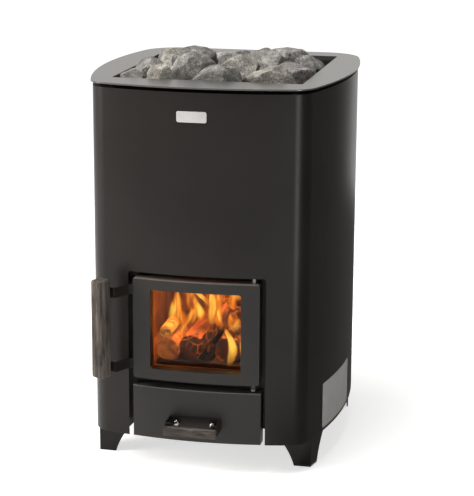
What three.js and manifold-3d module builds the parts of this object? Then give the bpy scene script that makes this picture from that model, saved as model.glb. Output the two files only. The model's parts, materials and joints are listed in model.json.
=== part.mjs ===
// Wood-burning sauna heater: a bowed sheet jacket round a firebox, with stones heaped on top.
// Millimetres, +Z up, front towards -Y. The pieces are laid out with y = 0 on the widest line of
// the jacket, and the finished group is moved so that the origin is under the middle of its box.

import * as THREE from 'three';
import { mergeVertices } from 'three/addons/utils/BufferGeometryUtils.js';
import Module from 'manifold-3d';

const wasm = await Module();
wasm.setup();

// Jacket and collar
const RIM_HEIGHT = 764; // floor to the collar's top face
const JACKET_WIDTH = 506; // across the widest line
const FRONT_REACH = 304; // widest line to the middle of the front
const REAR_REACH = 256; // widest line to the flat rear
const FRONT_BOW_RADIUS = 728;
const SIDE_BOW_RADIUS = 860;
const FRONT_CORNER_RADIUS = 44;
const REAR_CORNER_RADIUS = 75;
const JACKET_SHEET = 2;
const JACKET_BOTTOM = 61.5; // floor to the jacket's lower edge
const PANEL_FLANGE = 12; // folded edges of the jacket panels
const SEAM_SETBACK = 109; // middle of the front to the seam with the side panels
const SEAM_GAP = 0.8;
const RIM_GAP = 7; // open slot between jacket and collar
const RIM_OVERHANG = 4;
const COLLAR_PLATE = 3;
const COLLAR_FLANGE = 18; // depth of the edge folded down round the stones
const COLLAR_FLANGE_SHEET = 3;
const TIE_RING_SHEET = 2.5;
const TIE_RING_SLOT = 26; // width of the air slots in the ring under the collar
const TIE_RING_SLOT_END = 62; // ring corner to the end of a slot
const SPACER_DIAMETER = 9;
const SPACER_INSET = 10; // side of the stone opening to a spacer's axis
const SPACER_OUTSET = 22; // front of the stone opening to a spacer's axis

// Stones
const STONE_OPENING_SIDE = 65; // widest line of the jacket to the opening, on each side
const STONE_OPENING_FRONT = 89; // middle of the jacket's front to the opening
const STONE_OPENING_REAR = 56; // opening to the jacket's rear
const STONE_OPENING_CORNER = 6;
const STONE_DEPTH = 250; // collar's top face to the floor of the basket
const BASKET_SHEET = 2;
const BASKET_DROP = 9; // collar's top face to the basket's upper edge
const STONE_BED_DROP = 52; // collar's top face to the bed under the top layer
const STONE_BED_RELIEF = 14; // depth of the hollows in the bed
const STONE_BED_PITCH = 105; // between the hollows
const STONE_GAP = 0.6;
const STONE_SIZE = 50; // half size of a middling stone
const BROKEN_FACES = 11; // flat broken faces on a stone
const BROKEN_DEPTH = 0.8; // mean distance of such a face, as a share of the stone's half size
const BROKEN_SPREAD = 0.15; // how far that share varies

// Door
const DOOR_WIDTH = 252;
const DOOR_HEIGHT = 203;
const DOOR_PROUD = 4; // door face in front of the jacket
const DOOR_DEPTH = 34; // middle of the face to the flat back
const DOOR_CORNER = 5;
const DOOR_SIDE_GAP = 11;
const DOOR_TOP_GAP = 10.5;
const DOOR_DRAWER_GAP = 17.5;
const DOOR_STILE = 35.5; // frame beside the window
const DOOR_RAIL = 21.5; // frame above and below the window
const WINDOW_CORNER = 5;
const GLASS_THICKNESS = 4;
const GLASS_LAP = 8; // glass hidden behind the frame on each side
const RETAINER_THICKNESS = 2.5;
const RETAINER_LAP = 6; // glass covered by the retainer on each side
const GASKET_WIDTH = 8;
const GASKET_DEPTH = 9;
const GASKET_MARGIN = 2; // retainer pocket to the gasket
const HINGE_INSET = 13; // side of the door to the hinge axis
const HINGE_PIN_DIAMETER = 8;
const HINGE_PIN_DEPTH = 22; // pin inside the door
const HINGE_PIN_HEAD = 3;
const HINGE_LUG_THICKNESS = 6;
const HINGE_LUG_WIDTH = 11;
const HINGE_LUG_REST = 4; // lower lug to the door's underside
const HINGE_LUG_GAP = 0.58; // lug's nose to the inside of the jacket
const HINGE_PLAY = 0.4; // between a pin and its bore
const LATCH_THICKNESS = 5;
const LATCH_WIDTH = 10;
const LATCH_PLAY = 0.8;
const LATCH_END_GAP = 3.6; // tongue to the front plate
const KEEPER_SHEET = 2;

// Door handle
const STRAP_HEIGHT = 20;
const STRAP_THICKNESS = 4;
const STRAP_UPPER = 178; // door's lower edge to the middle of the upper strap
const STRAP_LOWER = 28; // door's lower edge to the middle of the lower strap
const STRAP_ROOT_WIDTH = 12; // run of the strap across the side gap
const STRAP_ROOT_REACH = 9; // how far that run comes forward
const STRAP_ARM_WIDTH = 16;
const STRAP_ARM_REACH = 29;
const STRAP_PALM = 30; // flat end of the strap behind the grip
const GRIP_SIDE = 29;
const GRIP_LENGTH = 197;
const GRIP_ROUNDING = 5;
const GRIP_END_DRAW = 0.9; // share of the rounding by which the ends draw in
const GRIP_END_GAP = 5; // strap's bend to the grip
const GRIP_RISE = 8; // door's lower edge to the grip's lower end

// Ash drawer
const DRAWER_WIDTH = 257;
const DRAWER_HEIGHT = 105.5;
const DRAWER_SET_BACK = 2; // drawer face behind the jacket
const DRAWER_SHEET = 2.5;
const PAN_WIDTH = 236;
const PAN_DEPTH = 365;
const PAN_HEIGHT = 66;
const PAN_SHEET = 2;
const BRACKET_WIDTH = 104;
const BRACKET_HEIGHT = 22;
const BRACKET_SHEET = 2.5;
const BRACKET_RISE = 39; // drawer's lower edge to the middle of the bracket
const BRACKET_TAB = 12; // ends of the bracket turned in behind the bar
const BAR_WIDTH = 104;
const BAR_HEIGHT = 18;
const BAR_DEPTH = 12;
const BAR_ROUNDING = 3;
const BAR_DROP = 3.5; // middle of the bracket down to the middle of the bar
const BAR_REACH = 51; // drawer's face to the front of the bar
const NUT_SPACING = 72;
const NUT_DIAMETER = 13;
const NUT_HEIGHT = 10;
const STUD_DIAMETER = 6;
const STUD_LENGTH = 9;

// Firebox, ash box and flue
const FIREBOX_WIDTH = 336;
const FIREBOX_WALL = 6;
const FIREBOX_BACK = 51; // firebox to the jacket's rear
const FRONT_PLATE_THICKNESS = 6;
const FRONT_PLATE_MARGIN = 23; // plate beyond the jacket's cut-out
const ASH_BOX_SHEET = 3;
const ASH_BOX_PLAY = 6; // ash pan to the side of the ash box
const ASH_BOX_BACK_PLAY = 28; // ash pan to the back of the ash box
const ASH_BOX_HEIGHT = 82;
const GRATE_WIDTH = 216;
const GRATE_DEPTH = 276;
const GRATE_THICKNESS = 10;
const GRATE_LAP = 8; // grate resting on the firebox floor
const GRATE_SLOT = 10;
const GRATE_SLOTS = 9;
const GRATE_FRONT = 70; // firebox front plate to the grate
const BAFFLE_THICKNESS = 8;
const BAFFLE_DEPTH = 320;
const BAFFLE_DROP = 136; // firebox top to the baffle's upper face
const BAFFLE_LEDGE = 12;
const FLUE_DIAMETER = 118;
const FLUE_SHEET = 3;
const FLUE_DROP = 70; // firebox top to the flue axis
const FLUE_FLANGE = 14;
const FLUE_FLANGE_SHEET = 4;
const FLUE_STANDOUT = 7; // flue spigot beyond the rear panel
const FLUE_CUTOUT_GAP = 6;

// Base and legs
const BASE_SHEET = 3;
const BASE_RISE = 25; // jacket's lower edge to the base plate
const LEG_SHEET = 3;
const LEG_INSET = 2; // jacket to the leg
const LEG_FRONT_SETBACK = 76; // middle of the jacket's front to the front legs
const LEG_REAR_SETBACK = 70; // jacket's rear to the rear legs
const LEG_TOE = 34; // width of each flange on the floor
const LEG_FLANGE = 96; // width of each flange at the base plate
const LEG_ANKLE_REACH = 0.22; // where the sweep turns, as a share of the flare
const LEG_ANKLE_HEIGHT = 0.55; // and as a share of the height

// Firewood
const LOG_LENGTH = 270;
const LOG_RADIUS = 31;
const LOG_SIDES = 9;
const LOG_UNEVENNESS = 0.1; // share by which a log's radius varies
const LOG_SPACING = 78; // between the axes of the two lower logs
const LOG_CROSSING = 0.42; // turn of the top log across the lower two, in radians

// Fits
const SEAT = 0.3; // gap between faces that touch
const SLIP = 0.5; // gap between pieces that slide into each other
const BITE = 1; // how far joined and cutting shapes run into each other
const WELD = 1e-4; // points nearer than this are one point
const ARC_STEPS = 10;
const ROUND_SIDES = 24;

// Heights and depths that follow from the sizes above
const collarBottom = RIM_HEIGHT - COLLAR_PLATE;
const jacketTop = collarBottom - RIM_GAP;
const tieRingTop = jacketTop - JACKET_SHEET - SEAT;
const baseBottom = JACKET_BOTTOM + BASE_RISE;
const baseTop = baseBottom + BASE_SHEET;
const ashBoxBottom = baseTop + SEAT;
const fireboxBottom = ashBoxBottom + ASH_BOX_HEIGHT + SEAT;
const fireboxFloor = fireboxBottom + FIREBOX_WALL;
const basketBottom = RIM_HEIGHT - STONE_DEPTH - BASKET_SHEET;
const fireboxTop = basketBottom - SEAT;
const drawerTop = JACKET_BOTTOM + DRAWER_HEIGHT;
const doorBottom = drawerTop + DOOR_DRAWER_GAP;
const doorTop = doorBottom + DOOR_HEIGHT;
const doorMiddle = doorBottom + DOOR_HEIGHT / 2;
const openingHalf = DOOR_WIDTH / 2 + DOOR_SIDE_GAP;
const openingTop = doorTop + DOOR_TOP_GAP;
const windowWidth = DOOR_WIDTH - 2 * DOOR_STILE;
const windowHeight = DOOR_HEIGHT - 2 * DOOR_RAIL;

const frontY = -FRONT_REACH;
const rearY = REAR_REACH;
const seamY = frontY + SEAM_SETBACK;
const stoneFrontY = frontY + STONE_OPENING_FRONT;
const stoneRearY = rearY - STONE_OPENING_REAR;
const stoneOpeningWidth = JACKET_WIDTH - 2 * STONE_OPENING_SIDE;
const stoneOpeningDepth = stoneRearY - stoneFrontY;
const stoneMiddleY = (stoneFrontY + stoneRearY) / 2;
const doorBackY = frontY - DOOR_PROUD + DOOR_DEPTH;
const frontPlateY = doorBackY + GASKET_DEPTH + SEAT;
const fireboxFrontY = frontPlateY + FRONT_PLATE_THICKNESS + SEAT;
const fireboxRearY = rearY - FIREBOX_BACK;
const hingeX = DOOR_WIDTH / 2 - HINGE_INSET;
const grateTop = fireboxFloor + SEAT + GRATE_THICKNESS;
const grateFrontY = fireboxFrontY + GRATE_FRONT;
const flueZ = fireboxTop - FLUE_DROP;

// Finishes
const blackPaint = { color: 0x2e2c2a, roughness: 0.42, metalness: 0.35 };
const collarPaint = { color: 0x4a4947, roughness: 0.4, metalness: 0.45 };
const doorPaint = { color: 0x363532, roughness: 0.5, metalness: 0.4 };
const heatSteel = { color: 0x3d3a37, roughness: 0.65, metalness: 0.6 };
const castIron = { color: 0x33302e, roughness: 0.8, metalness: 0.5 };
const bareSteel = { color: 0xb9b8b4, roughness: 0.3, metalness: 0.95 };
const smokedWood = { color: 0x55504b, roughness: 0.75, metalness: 0 };
const firewood = { color: 0x4a2a1a, roughness: 0.9, metalness: 0 };
const stoneGrey = { color: 0x8b8780, roughness: 0.95, metalness: 0 };
const ropeSeal = { color: 0x5a5854, roughness: 0.95, metalness: 0 };
const clearGlass = { color: 0xd8d4c8, roughness: 0.05, metalness: 0, transparent: true, opacity: 0.3 };

const vec2 = (x, y) => new THREE.Vector2(x, y);
const vec3 = (x, y, z) => new THREE.Vector3(x, y, z);

// Points along a circular arc
function arc(centre, radius, from, to, steps = ARC_STEPS) {
  return Array.from({ length: steps + 1 }, (_, i) => {
    const angle = from + (to - from) * i / steps;
    return vec2(centre.x + radius * Math.cos(angle), centre.y + radius * Math.sin(angle));
  });
}

// Joins runs of points, leaving out the repeated point where two runs meet
function chain(...runs) {
  const points = runs.flat();
  return points.filter((p, i) => p.distanceTo(points.at(i - 1)) > WELD);
}

// A closed rectangle about a middle point, with rounded corners
function roundedRect(middle, width, height, radius, steps = 3) {
  const x = width / 2 - radius;
  const y = height / 2 - radius;
  const quarter = Math.PI / 2;
  const corners = [[x, y], [-x, y], [-x, -y], [x, -y]];
  return chain(...corners.map(([cx, cy], i) => (
    arc(vec2(middle.x + cx, middle.y + cy), radius, i * quarter, (i + 1) * quarter, steps)
  )));
}

// A rectangle given by two opposite corners
function rect(x0, y0, x1, y1) {
  return [vec2(x0, y0), vec2(x1, y0), vec2(x1, y1), vec2(x0, y1)];
}

function shapeOf(points, hole) {
  const shape = new THREE.Shape(points);
  if (hole) shape.holes.push(new THREE.Path(hole));
  return shape;
}

// Plates and bars: an outline carried along one axis
function alongZ(points, z0, z1, hole) {
  const settings = { depth: z1 - z0, bevelEnabled: false };
  return new THREE.ExtrudeGeometry(shapeOf(points, hole), settings).translate(0, 0, z0);
}

// The outline holds x and z, and is carried from y0 to y1
function alongY(points, y0, y1, hole) {
  const settings = { depth: y1 - y0, bevelEnabled: false };
  return new THREE.ExtrudeGeometry(shapeOf(points, hole), settings)
    .rotateX(Math.PI / 2)
    .translate(0, y1, 0);
}

function block(x0, y0, z0, x1, y1, z1) {
  return alongZ(rect(x0, y0, x1, y1), z0, z1);
}

function disc(x, y, radius, z0, z1) {
  return new THREE.CylinderGeometry(radius, radius, z1 - z0, ROUND_SIDES)
    .rotateX(Math.PI / 2)
    .translate(x, y, (z0 + z1) / 2);
}

function toSolid(geometry) {
  const bare = geometry.clone();
  bare.deleteAttribute('normal');
  bare.deleteAttribute('uv');
  const welded = mergeVertices(bare, WELD);
  return new wasm.Manifold(new wasm.Mesh({
    numProp: 3,
    vertProperties: new Float32Array(welded.attributes.position.array),
    triVerts: new Uint32Array(welded.index.array),
  }));
}

function toGeometry(solid) {
  const mesh = solid.getMesh();
  const geometry = new THREE.BufferGeometry();
  geometry.setAttribute('position', new THREE.BufferAttribute(mesh.vertProperties, mesh.numProp));
  geometry.setIndex(new THREE.BufferAttribute(mesh.triVerts, 1));
  const faceted = geometry.toNonIndexed();
  faceted.computeVertexNormals();
  return faceted;
}

const cut = (body, ...tools) => (
  toGeometry(tools.reduce((rest, tool) => rest.subtract(toSolid(tool)), toSolid(body)))
);
const join = (...bodies) => toGeometry(bodies.map(toSolid).reduce((all, body) => all.add(body)));
const overlap = (a, b) => toGeometry(toSolid(a).intersect(toSolid(b)));

const heater = new THREE.Group();
const door = new THREE.Group();
const ashDrawer = new THREE.Group();
heater.add(door, ashDrawer);

function addPart(group, name, geometry, finish) {
  const mesh = new THREE.Mesh(geometry, new THREE.MeshStandardMaterial(finish));
  mesh.name = name;
  group.add(mesh);
  return mesh;
}

// The crossing of two circles on the right-hand side of the way from a to b
function crossing(a, ra, b, rb) {
  const way = b.clone().sub(a);
  const distance = way.length();
  way.divideScalar(distance);
  const along = (distance * distance + ra * ra - rb * rb) / (2 * distance);
  const across = Math.sqrt(ra * ra - along * along);
  return vec2(a.x + along * way.x + across * way.y, a.y + along * way.y - across * way.x);
}

// The jacket's plan: bowed front and sides, round corners and a flat rear
const frontCentre = vec2(0, frontY + FRONT_BOW_RADIUS);
const sideCentre = vec2(JACKET_WIDTH / 2 - SIDE_BOW_RADIUS, 0);
const frontCorner = crossing(
  sideCentre,
  SIDE_BOW_RADIUS - FRONT_CORNER_RADIUS,
  frontCentre,
  FRONT_BOW_RADIUS - FRONT_CORNER_RADIUS,
);
const rearCornerY = rearY - REAR_CORNER_RADIUS;
const rearCorner = vec2(
  sideCentre.x + Math.sqrt((SIDE_BOW_RADIUS - REAR_CORNER_RADIUS) ** 2 - rearCornerY ** 2),
  rearCornerY,
);
const frontAngle = frontCorner.clone().sub(frontCentre).angle() - 2 * Math.PI;
const sideAngleFront = Math.atan2(frontCorner.y, frontCorner.x - sideCentre.x);
const sideAngleRear = Math.atan2(rearCorner.y, rearCorner.x - sideCentre.x);

// The plan, drawn in from the jacket's face by the inset
function plan(inset) {
  const mirror = (p) => vec2(-p.x, p.y);
  const radius = FRONT_BOW_RADIUS - inset;
  const front = arc(frontCentre, radius, -Math.PI - frontAngle, frontAngle, 2 * ARC_STEPS);
  const right = chain(
    arc(frontCorner, FRONT_CORNER_RADIUS - inset, frontAngle, sideAngleFront),
    arc(sideCentre, SIDE_BOW_RADIUS - inset, sideAngleFront, sideAngleRear, 2 * ARC_STEPS),
    arc(rearCorner, REAR_CORNER_RADIUS - inset, sideAngleRear, Math.PI / 2),
  );
  return chain(front, right, right.map(mirror).reverse());
}

// The depth of the bowed front, drawn in by the inset, at a distance from the middle
const bowY = (x, inset) => frontCentre.y - Math.sqrt((FRONT_BOW_RADIUS - inset) ** 2 - x * x);

// The half width of the bowed sides, drawn in by the inset, at a depth
const sideX = (y, inset) => sideCentre.x + Math.sqrt((SIDE_BOW_RADIUS - inset) ** 2 - y * y);

// A run of the bowed front between two half widths, closed by a straight back
function bowedBlock(halfWidth, inset, backY, z0, z1) {
  const reach = Math.asin(halfWidth / (FRONT_BOW_RADIUS - inset));
  const down = -Math.PI / 2;
  const face = arc(frontCentre, FRONT_BOW_RADIUS - inset, down - reach, down + reach, 2 * ARC_STEPS);
  return alongZ([...face, vec2(halfWidth, backY), vec2(-halfWidth, backY)], z0, z1);
}

// Jacket panels: sheet that follows the plan, with edges folded in at the top and at the seams
const far = 2 * (JACKET_WIDTH + FRONT_REACH + REAR_REACH);

function jacketBand(depth, z0 = JACKET_BOTTOM) {
  return alongZ(plan(0), z0, jacketTop, plan(depth));
}

// The seam folds stop short of the base plate and of the ring under the collar
const foldBottom = baseTop + SLIP;
const foldTop = tieRingTop - TIE_RING_SHEET - SLIP;

function seamFold(x0, y0, x1, y1) {
  return overlap(jacketBand(JACKET_SHEET + PANEL_FLANGE), block(x0, y0, foldBottom, x1, y1, foldTop));
}

function jacketPanel(zone, folds) {
  const sheet = jacketBand(JACKET_SHEET);
  const lip = jacketBand(JACKET_SHEET + PANEL_FLANGE, jacketTop - JACKET_SHEET);
  return overlap(join(sheet, lip, ...folds), zone);
}

const seamHalf = SEAM_GAP / 2;
const rearSeamX = rearCorner.x;

function frontPanel() {
  const edgeY = seamY - seamHalf;
  const zone = block(-far, -far, 0, far, edgeY, far);
  const fold = seamFold(-far, edgeY - JACKET_SHEET, far, edgeY);
  const opening = alongY(
    roundedRect(vec2(0, openingTop - openingHalf), 2 * openingHalf, 2 * openingHalf, DOOR_CORNER),
    -far,
    seamY,
  );
  const below = block(-openingHalf, -far, 0, openingHalf, seamY, openingTop - openingHalf);
  return cut(jacketPanel(zone, [fold]), opening, below);
}

function sidePanel(side) {
  const frontEdge = seamY + seamHalf;
  const rearEdge = side * (rearSeamX + seamHalf);
  const zone = overlap(
    block(Math.min(0, side * far), frontEdge, 0, Math.max(0, side * far), far, far),
    cut(
      block(-far, -far, 0, far, far, far),
      block(Math.min(0, rearEdge), 0, -far, Math.max(0, rearEdge), 2 * far, 2 * far),
    ),
  );
  const frontFold = seamFold(-far, frontEdge, far, frontEdge + JACKET_SHEET);
  const foldX = [rearEdge, rearEdge + side * JACKET_SHEET].sort((a, b) => a - b);
  const rearFold = seamFold(foldX[0], 0, foldX[1], far);
  return jacketPanel(zone, [frontFold, rearFold]);
}

function rearPanel() {
  const edge = rearSeamX - seamHalf;
  const zone = block(-edge, 0, 0, edge, far, far);
  const folds = [
    seamFold(-edge, 0, -edge + JACKET_SHEET, far),
    seamFold(edge - JACKET_SHEET, 0, edge, far),
  ];
  const cutout = disc(0, 0, FLUE_DIAMETER / 2 + FLUE_CUTOUT_GAP, -far, far)
    .rotateX(Math.PI / 2)
    .translate(0, 0, flueZ);
  const behind = overlap(cutout, block(-far, 0, 0, far, far, far));
  return cut(jacketPanel(zone, folds), behind);
}

addPart(heater, 'jacket_front', frontPanel(), blackPaint);
addPart(heater, 'jacket_left', sidePanel(-1), blackPaint);
addPart(heater, 'jacket_right', sidePanel(1), blackPaint);
addPart(heater, 'jacket_rear', rearPanel(), blackPaint);

// Top collar, resting on four spacers that stand on the ring tying the panels together
const stoneMiddle = vec2(0, stoneMiddleY);

function stoneOutline(grow) {
  const width = stoneOpeningWidth + 2 * grow;
  const depth = stoneOpeningDepth + 2 * grow;
  return roundedRect(stoneMiddle, width, depth, STONE_OPENING_CORNER + Math.max(grow, 0));
}

function collar() {
  const plate = alongZ(plan(-RIM_OVERHANG), collarBottom, RIM_HEIGHT, stoneOutline(0));
  const flange = alongZ(
    stoneOutline(COLLAR_FLANGE_SHEET),
    RIM_HEIGHT - COLLAR_FLANGE,
    collarBottom + COLLAR_PLATE / 2,
    stoneOutline(0),
  );
  return join(plate, flange);
}

function tieRing() {
  const z0 = tieRingTop - TIE_RING_SHEET;
  const inner = COLLAR_FLANGE_SHEET + SLIP;
  const ring = alongZ(plan(JACKET_SHEET + SLIP), z0, tieRingTop, stoneOutline(inner));
  const halfWidth = stoneOpeningWidth / 2 + inner;
  const sideMiddle = (halfWidth + JACKET_WIDTH / 2) / 2;
  const frontMiddle = (stoneFrontY - inner + frontY) / 2;
  const rearMiddle = (stoneRearY + inner + rearY) / 2;
  const across = stoneOpeningWidth - 2 * TIE_RING_SLOT_END;
  const along = stoneOpeningDepth - 2 * TIE_RING_SLOT_END;
  const round = TIE_RING_SLOT / 2;
  const slots = [
    roundedRect(vec2(0, frontMiddle), across, TIE_RING_SLOT, round),
    roundedRect(vec2(0, rearMiddle), across, TIE_RING_SLOT, round),
    roundedRect(vec2(-sideMiddle, stoneMiddleY), TIE_RING_SLOT, along, round),
    roundedRect(vec2(sideMiddle, stoneMiddleY), TIE_RING_SLOT, along, round),
  ];
  return cut(ring, ...slots.map((slot) => alongZ(slot, 0, RIM_HEIGHT)));
}

addPart(heater, 'top_collar', collar(), collarPaint);
addPart(heater, 'tie_ring', tieRing(), heatSteel);

const spacerX = stoneOpeningWidth / 2 - SPACER_INSET;
const spacerPlaces = {
  front_left: [-spacerX, stoneFrontY - SPACER_OUTSET],
  front_right: [spacerX, stoneFrontY - SPACER_OUTSET],
  rear_left: [-spacerX, stoneRearY + SPACER_OUTSET],
  rear_right: [spacerX, stoneRearY + SPACER_OUTSET],
};
for (const [place, [x, y]] of Object.entries(spacerPlaces)) {
  const spacer = disc(x, y, SPACER_DIAMETER / 2, tieRingTop + SEAT, collarBottom - SEAT);
  addPart(heater, `collar_spacer_${place}`, spacer, bareSteel);
}

// Base plate, notched at the front to clear the ash drawer
function basePlate() {
  const plate = alongZ(plan(JACKET_SHEET + SLIP), baseBottom, baseTop);
  const notchHalf = openingHalf + DOOR_SIDE_GAP;
  return cut(plate, block(-notchHalf, -far, 0, notchHalf, frontPlateY, RIM_HEIGHT));
}

addPart(heater, 'base_plate', basePlate(), heatSteel);

// Legs: two flanges folded at a corner, each flaring from a narrow toe to the base plate
function legFlange() {
  const height = baseBottom - SEAT;
  const flare = LEG_FLANGE - LEG_TOE;
  const ankle = vec2(LEG_TOE + flare * LEG_ANKLE_REACH, height * LEG_ANKLE_HEIGHT);
  const sweep = new THREE.QuadraticBezierCurve(vec2(LEG_TOE, 0), ankle, vec2(LEG_FLANGE, height));
  return [vec2(0, 0), ...sweep.getPoints(ARC_STEPS), vec2(0, height)];
}

// A sheet whose outline runs from a corner along a level direction, and is thick to its left
function uprightSheet(outline, corner, direction, thickness) {
  const geometry = new THREE.ExtrudeGeometry(shapeOf(outline), { depth: thickness, bevelEnabled: false });
  const along = vec3(direction.x, direction.y, 0);
  const up = vec3(0, 0, 1);
  const basis = new THREE.Matrix4().makeBasis(along, up, along.clone().cross(up));
  return geometry.translate(0, 0, -thickness).applyMatrix4(basis).translate(corner.x, corner.y, 0);
}

function leg(side, end) {
  const cornerY = end < 0 ? frontY + LEG_FRONT_SETBACK : rearY - LEG_REAR_SETBACK;
  const flareY = cornerY - end * LEG_FLANGE;
  const inset = JACKET_SHEET + LEG_INSET;
  const corner = vec2(side * sideX(cornerY, inset), cornerY);
  const flare = vec2(side * sideX(flareY, inset), flareY);
  const along = flare.clone().sub(corner).normalize();
  const inward = vec2(-side, 0);
  const turn = Math.sign(inward.cross(along));
  const lateral = turn > 0 ? vec2(0, 0) : inward.clone().rotateAround(vec2(0, 0), -Math.PI / 2);
  const level = turn > 0 ? along.clone().rotateAround(vec2(0, 0), -Math.PI / 2) : vec2(0, 0);
  const face = uprightSheet(
    legFlange(),
    corner.clone().addScaledVector(lateral, LEG_SHEET),
    inward,
    LEG_SHEET,
  );
  const wing = uprightSheet(
    legFlange(),
    corner.clone().addScaledVector(level, LEG_SHEET),
    along,
    LEG_SHEET,
  );
  return join(face, wing);
}

addPart(heater, 'leg_front_left', leg(-1, -1), blackPaint);
addPart(heater, 'leg_front_right', leg(1, -1), blackPaint);
addPart(heater, 'leg_rear_left', leg(-1, 1), blackPaint);
addPart(heater, 'leg_rear_right', leg(1, 1), blackPaint);

// Ash box on the base plate, open to the front and to the firebox above
const panBottom = ashBoxBottom + ASH_BOX_SHEET + SLIP;
const panTop = panBottom + PAN_HEIGHT;
const panFlangeFrontY = frontPlateY - SLIP - PAN_SHEET;
const panBackY = panFlangeFrontY + PAN_DEPTH;
const ashBoxHalf = PAN_WIDTH / 2 + ASH_BOX_PLAY;

function ashBox() {
  const top = ashBoxBottom + ASH_BOX_HEIGHT;
  const backY = panBackY + ASH_BOX_BACK_PLAY;
  const outerHalf = ashBoxHalf + ASH_BOX_SHEET;
  return cut(
    block(-outerHalf, fireboxFrontY, ashBoxBottom, outerHalf, backY + ASH_BOX_SHEET, top),
    block(-ashBoxHalf, -far, ashBoxBottom + ASH_BOX_SHEET, ashBoxHalf, backY, far),
  );
}

addPart(heater, 'ash_box', ashBox(), heatSteel);

// Firebox: welded steel shell with a grate opening, a flue opening and ledges for the baffle
const fireboxHalf = FIREBOX_WIDTH / 2;
const fireboxInnerHalf = fireboxHalf - FIREBOX_WALL;
const fireboxInnerRearY = fireboxRearY - FIREBOX_WALL;
const baffleTop = fireboxTop - BAFFLE_DROP;
const baffleBottom = baffleTop - BAFFLE_THICKNESS;
const flueBore = FLUE_DIAMETER / 2 - FLUE_SHEET;

function fireboxShell() {
  const half = fireboxInnerHalf;
  const rear = fireboxInnerRearY;
  const hollow = cut(
    block(-fireboxHalf, fireboxFrontY, fireboxBottom, fireboxHalf, fireboxRearY, fireboxTop),
    block(-half, -far, fireboxFloor, half, rear, fireboxTop - FIREBOX_WALL),
  );
  const ledgeTop = baffleBottom - SEAT;
  const ledges = [-half - BITE, half - BAFFLE_LEDGE].map((x) => block(
    x,
    rear - BAFFLE_DEPTH,
    ledgeTop - FIREBOX_WALL,
    x + BAFFLE_LEDGE + BITE,
    rear + BITE,
    ledgeTop,
  ));
  const grateHole = block(
    -GRATE_WIDTH / 2 + GRATE_LAP,
    grateFrontY + GRATE_LAP,
    0,
    GRATE_WIDTH / 2 - GRATE_LAP,
    grateFrontY + GRATE_DEPTH - GRATE_LAP,
    fireboxFloor + BITE,
  );
  const flueHole = new THREE.CylinderGeometry(flueBore, flueBore, REAR_REACH, ROUND_SIDES)
    .translate(0, fireboxRearY, flueZ);
  return cut(join(hollow, ...ledges), grateHole, flueHole);
}

addPart(heater, 'firebox_shell', fireboxShell(), heatSteel);

// Firebox front plate: the door's opening, and a notch for the ash pan
function fireboxFront() {
  const half = openingHalf + FRONT_PLATE_MARGIN;
  const outline = rect(-half, ashBoxBottom, half, openingTop + FRONT_PLATE_MARGIN);
  const plate = alongY(outline, frontPlateY, frontPlateY + FRONT_PLATE_THICKNESS);
  const fireHole = alongY(
    roundedRect(vec2(0, doorMiddle), windowWidth + GLASS_LAP, windowHeight + GLASS_LAP, WINDOW_CORNER),
    -far,
    0,
  );
  const panHalf = PAN_WIDTH / 2 + SLIP + ASH_BOX_PLAY / 2;
  const panNotch = block(-panHalf, -far, 0, panHalf, 0, panTop + ASH_BOX_PLAY);
  return cut(plate, fireHole, panNotch);
}

addPart(heater, 'firebox_front', fireboxFront(), heatSteel);

// Cast grate with slots from front to back
function grate() {
  const half = GRATE_WIDTH / 2;
  const plate = block(-half, grateFrontY, fireboxFloor + SEAT, half, grateFrontY + GRATE_DEPTH, grateTop);
  const pitch = (GRATE_WIDTH - 2 * GRATE_LAP) / (GRATE_SLOTS + 1);
  const middle = (GRATE_SLOTS - 1) / 2;
  const edge = 2 * GRATE_LAP;
  const slots = Array.from({ length: GRATE_SLOTS }, (_, i) => {
    const x = (i - middle) * pitch;
    const outline = roundedRect(
      vec2(x, grateFrontY + GRATE_DEPTH / 2),
      GRATE_SLOT,
      GRATE_DEPTH - 2 * edge,
      GRATE_SLOT / 2,
      2,
    );
    return alongZ(outline, 0, RIM_HEIGHT);
  });
  return cut(plate, ...slots);
}

addPart(heater, 'grate', grate(), castIron);

const baffle = block(
  -fireboxInnerHalf + SLIP,
  fireboxInnerRearY - BAFFLE_DEPTH,
  baffleBottom,
  fireboxInnerHalf - SLIP,
  fireboxInnerRearY - SLIP,
  baffleTop,
);
addPart(heater, 'baffle', baffle, castIron);

// Flue spigot: a flanged collar turned about its own axis, pointing to the rear
function flueSpigot() {
  const outer = FLUE_DIAMETER / 2;
  const length = rearY + FLUE_STANDOUT - fireboxRearY - SEAT;
  const profile = [
    vec2(flueBore, 0),
    vec2(outer + FLUE_FLANGE, 0),
    vec2(outer + FLUE_FLANGE, FLUE_FLANGE_SHEET),
    vec2(outer, FLUE_FLANGE_SHEET),
    vec2(outer, length),
    vec2(flueBore, length),
    vec2(flueBore, 0),
  ];
  return new THREE.LatheGeometry(profile, ROUND_SIDES).translate(0, fireboxRearY + SEAT, flueZ);
}

addPart(heater, 'flue_spigot', flueSpigot(), heatSteel);

// Stone basket standing on the firebox, inside the collar's folded edge
const basketTop = RIM_HEIGHT - BASKET_DROP;

function stoneBasket() {
  return cut(
    alongZ(stoneOutline(-SLIP), basketBottom, basketTop),
    alongZ(stoneOutline(-SLIP - BASKET_SHEET), basketBottom + BASKET_SHEET, far),
  );
}

addPart(heater, 'stone_basket', stoneBasket(), heatSteel);

// Hinge: two lugs on the front plate, each with a headed pin that enters the door
const pinRadius = HINGE_PIN_DIAMETER / 2;
const boreRadius = pinRadius + HINGE_PLAY;
const lugHalf = HINGE_LUG_WIDTH / 2;
const hingeY = bowY(hingeX, JACKET_SHEET + lugHalf + HINGE_LUG_GAP);

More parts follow.
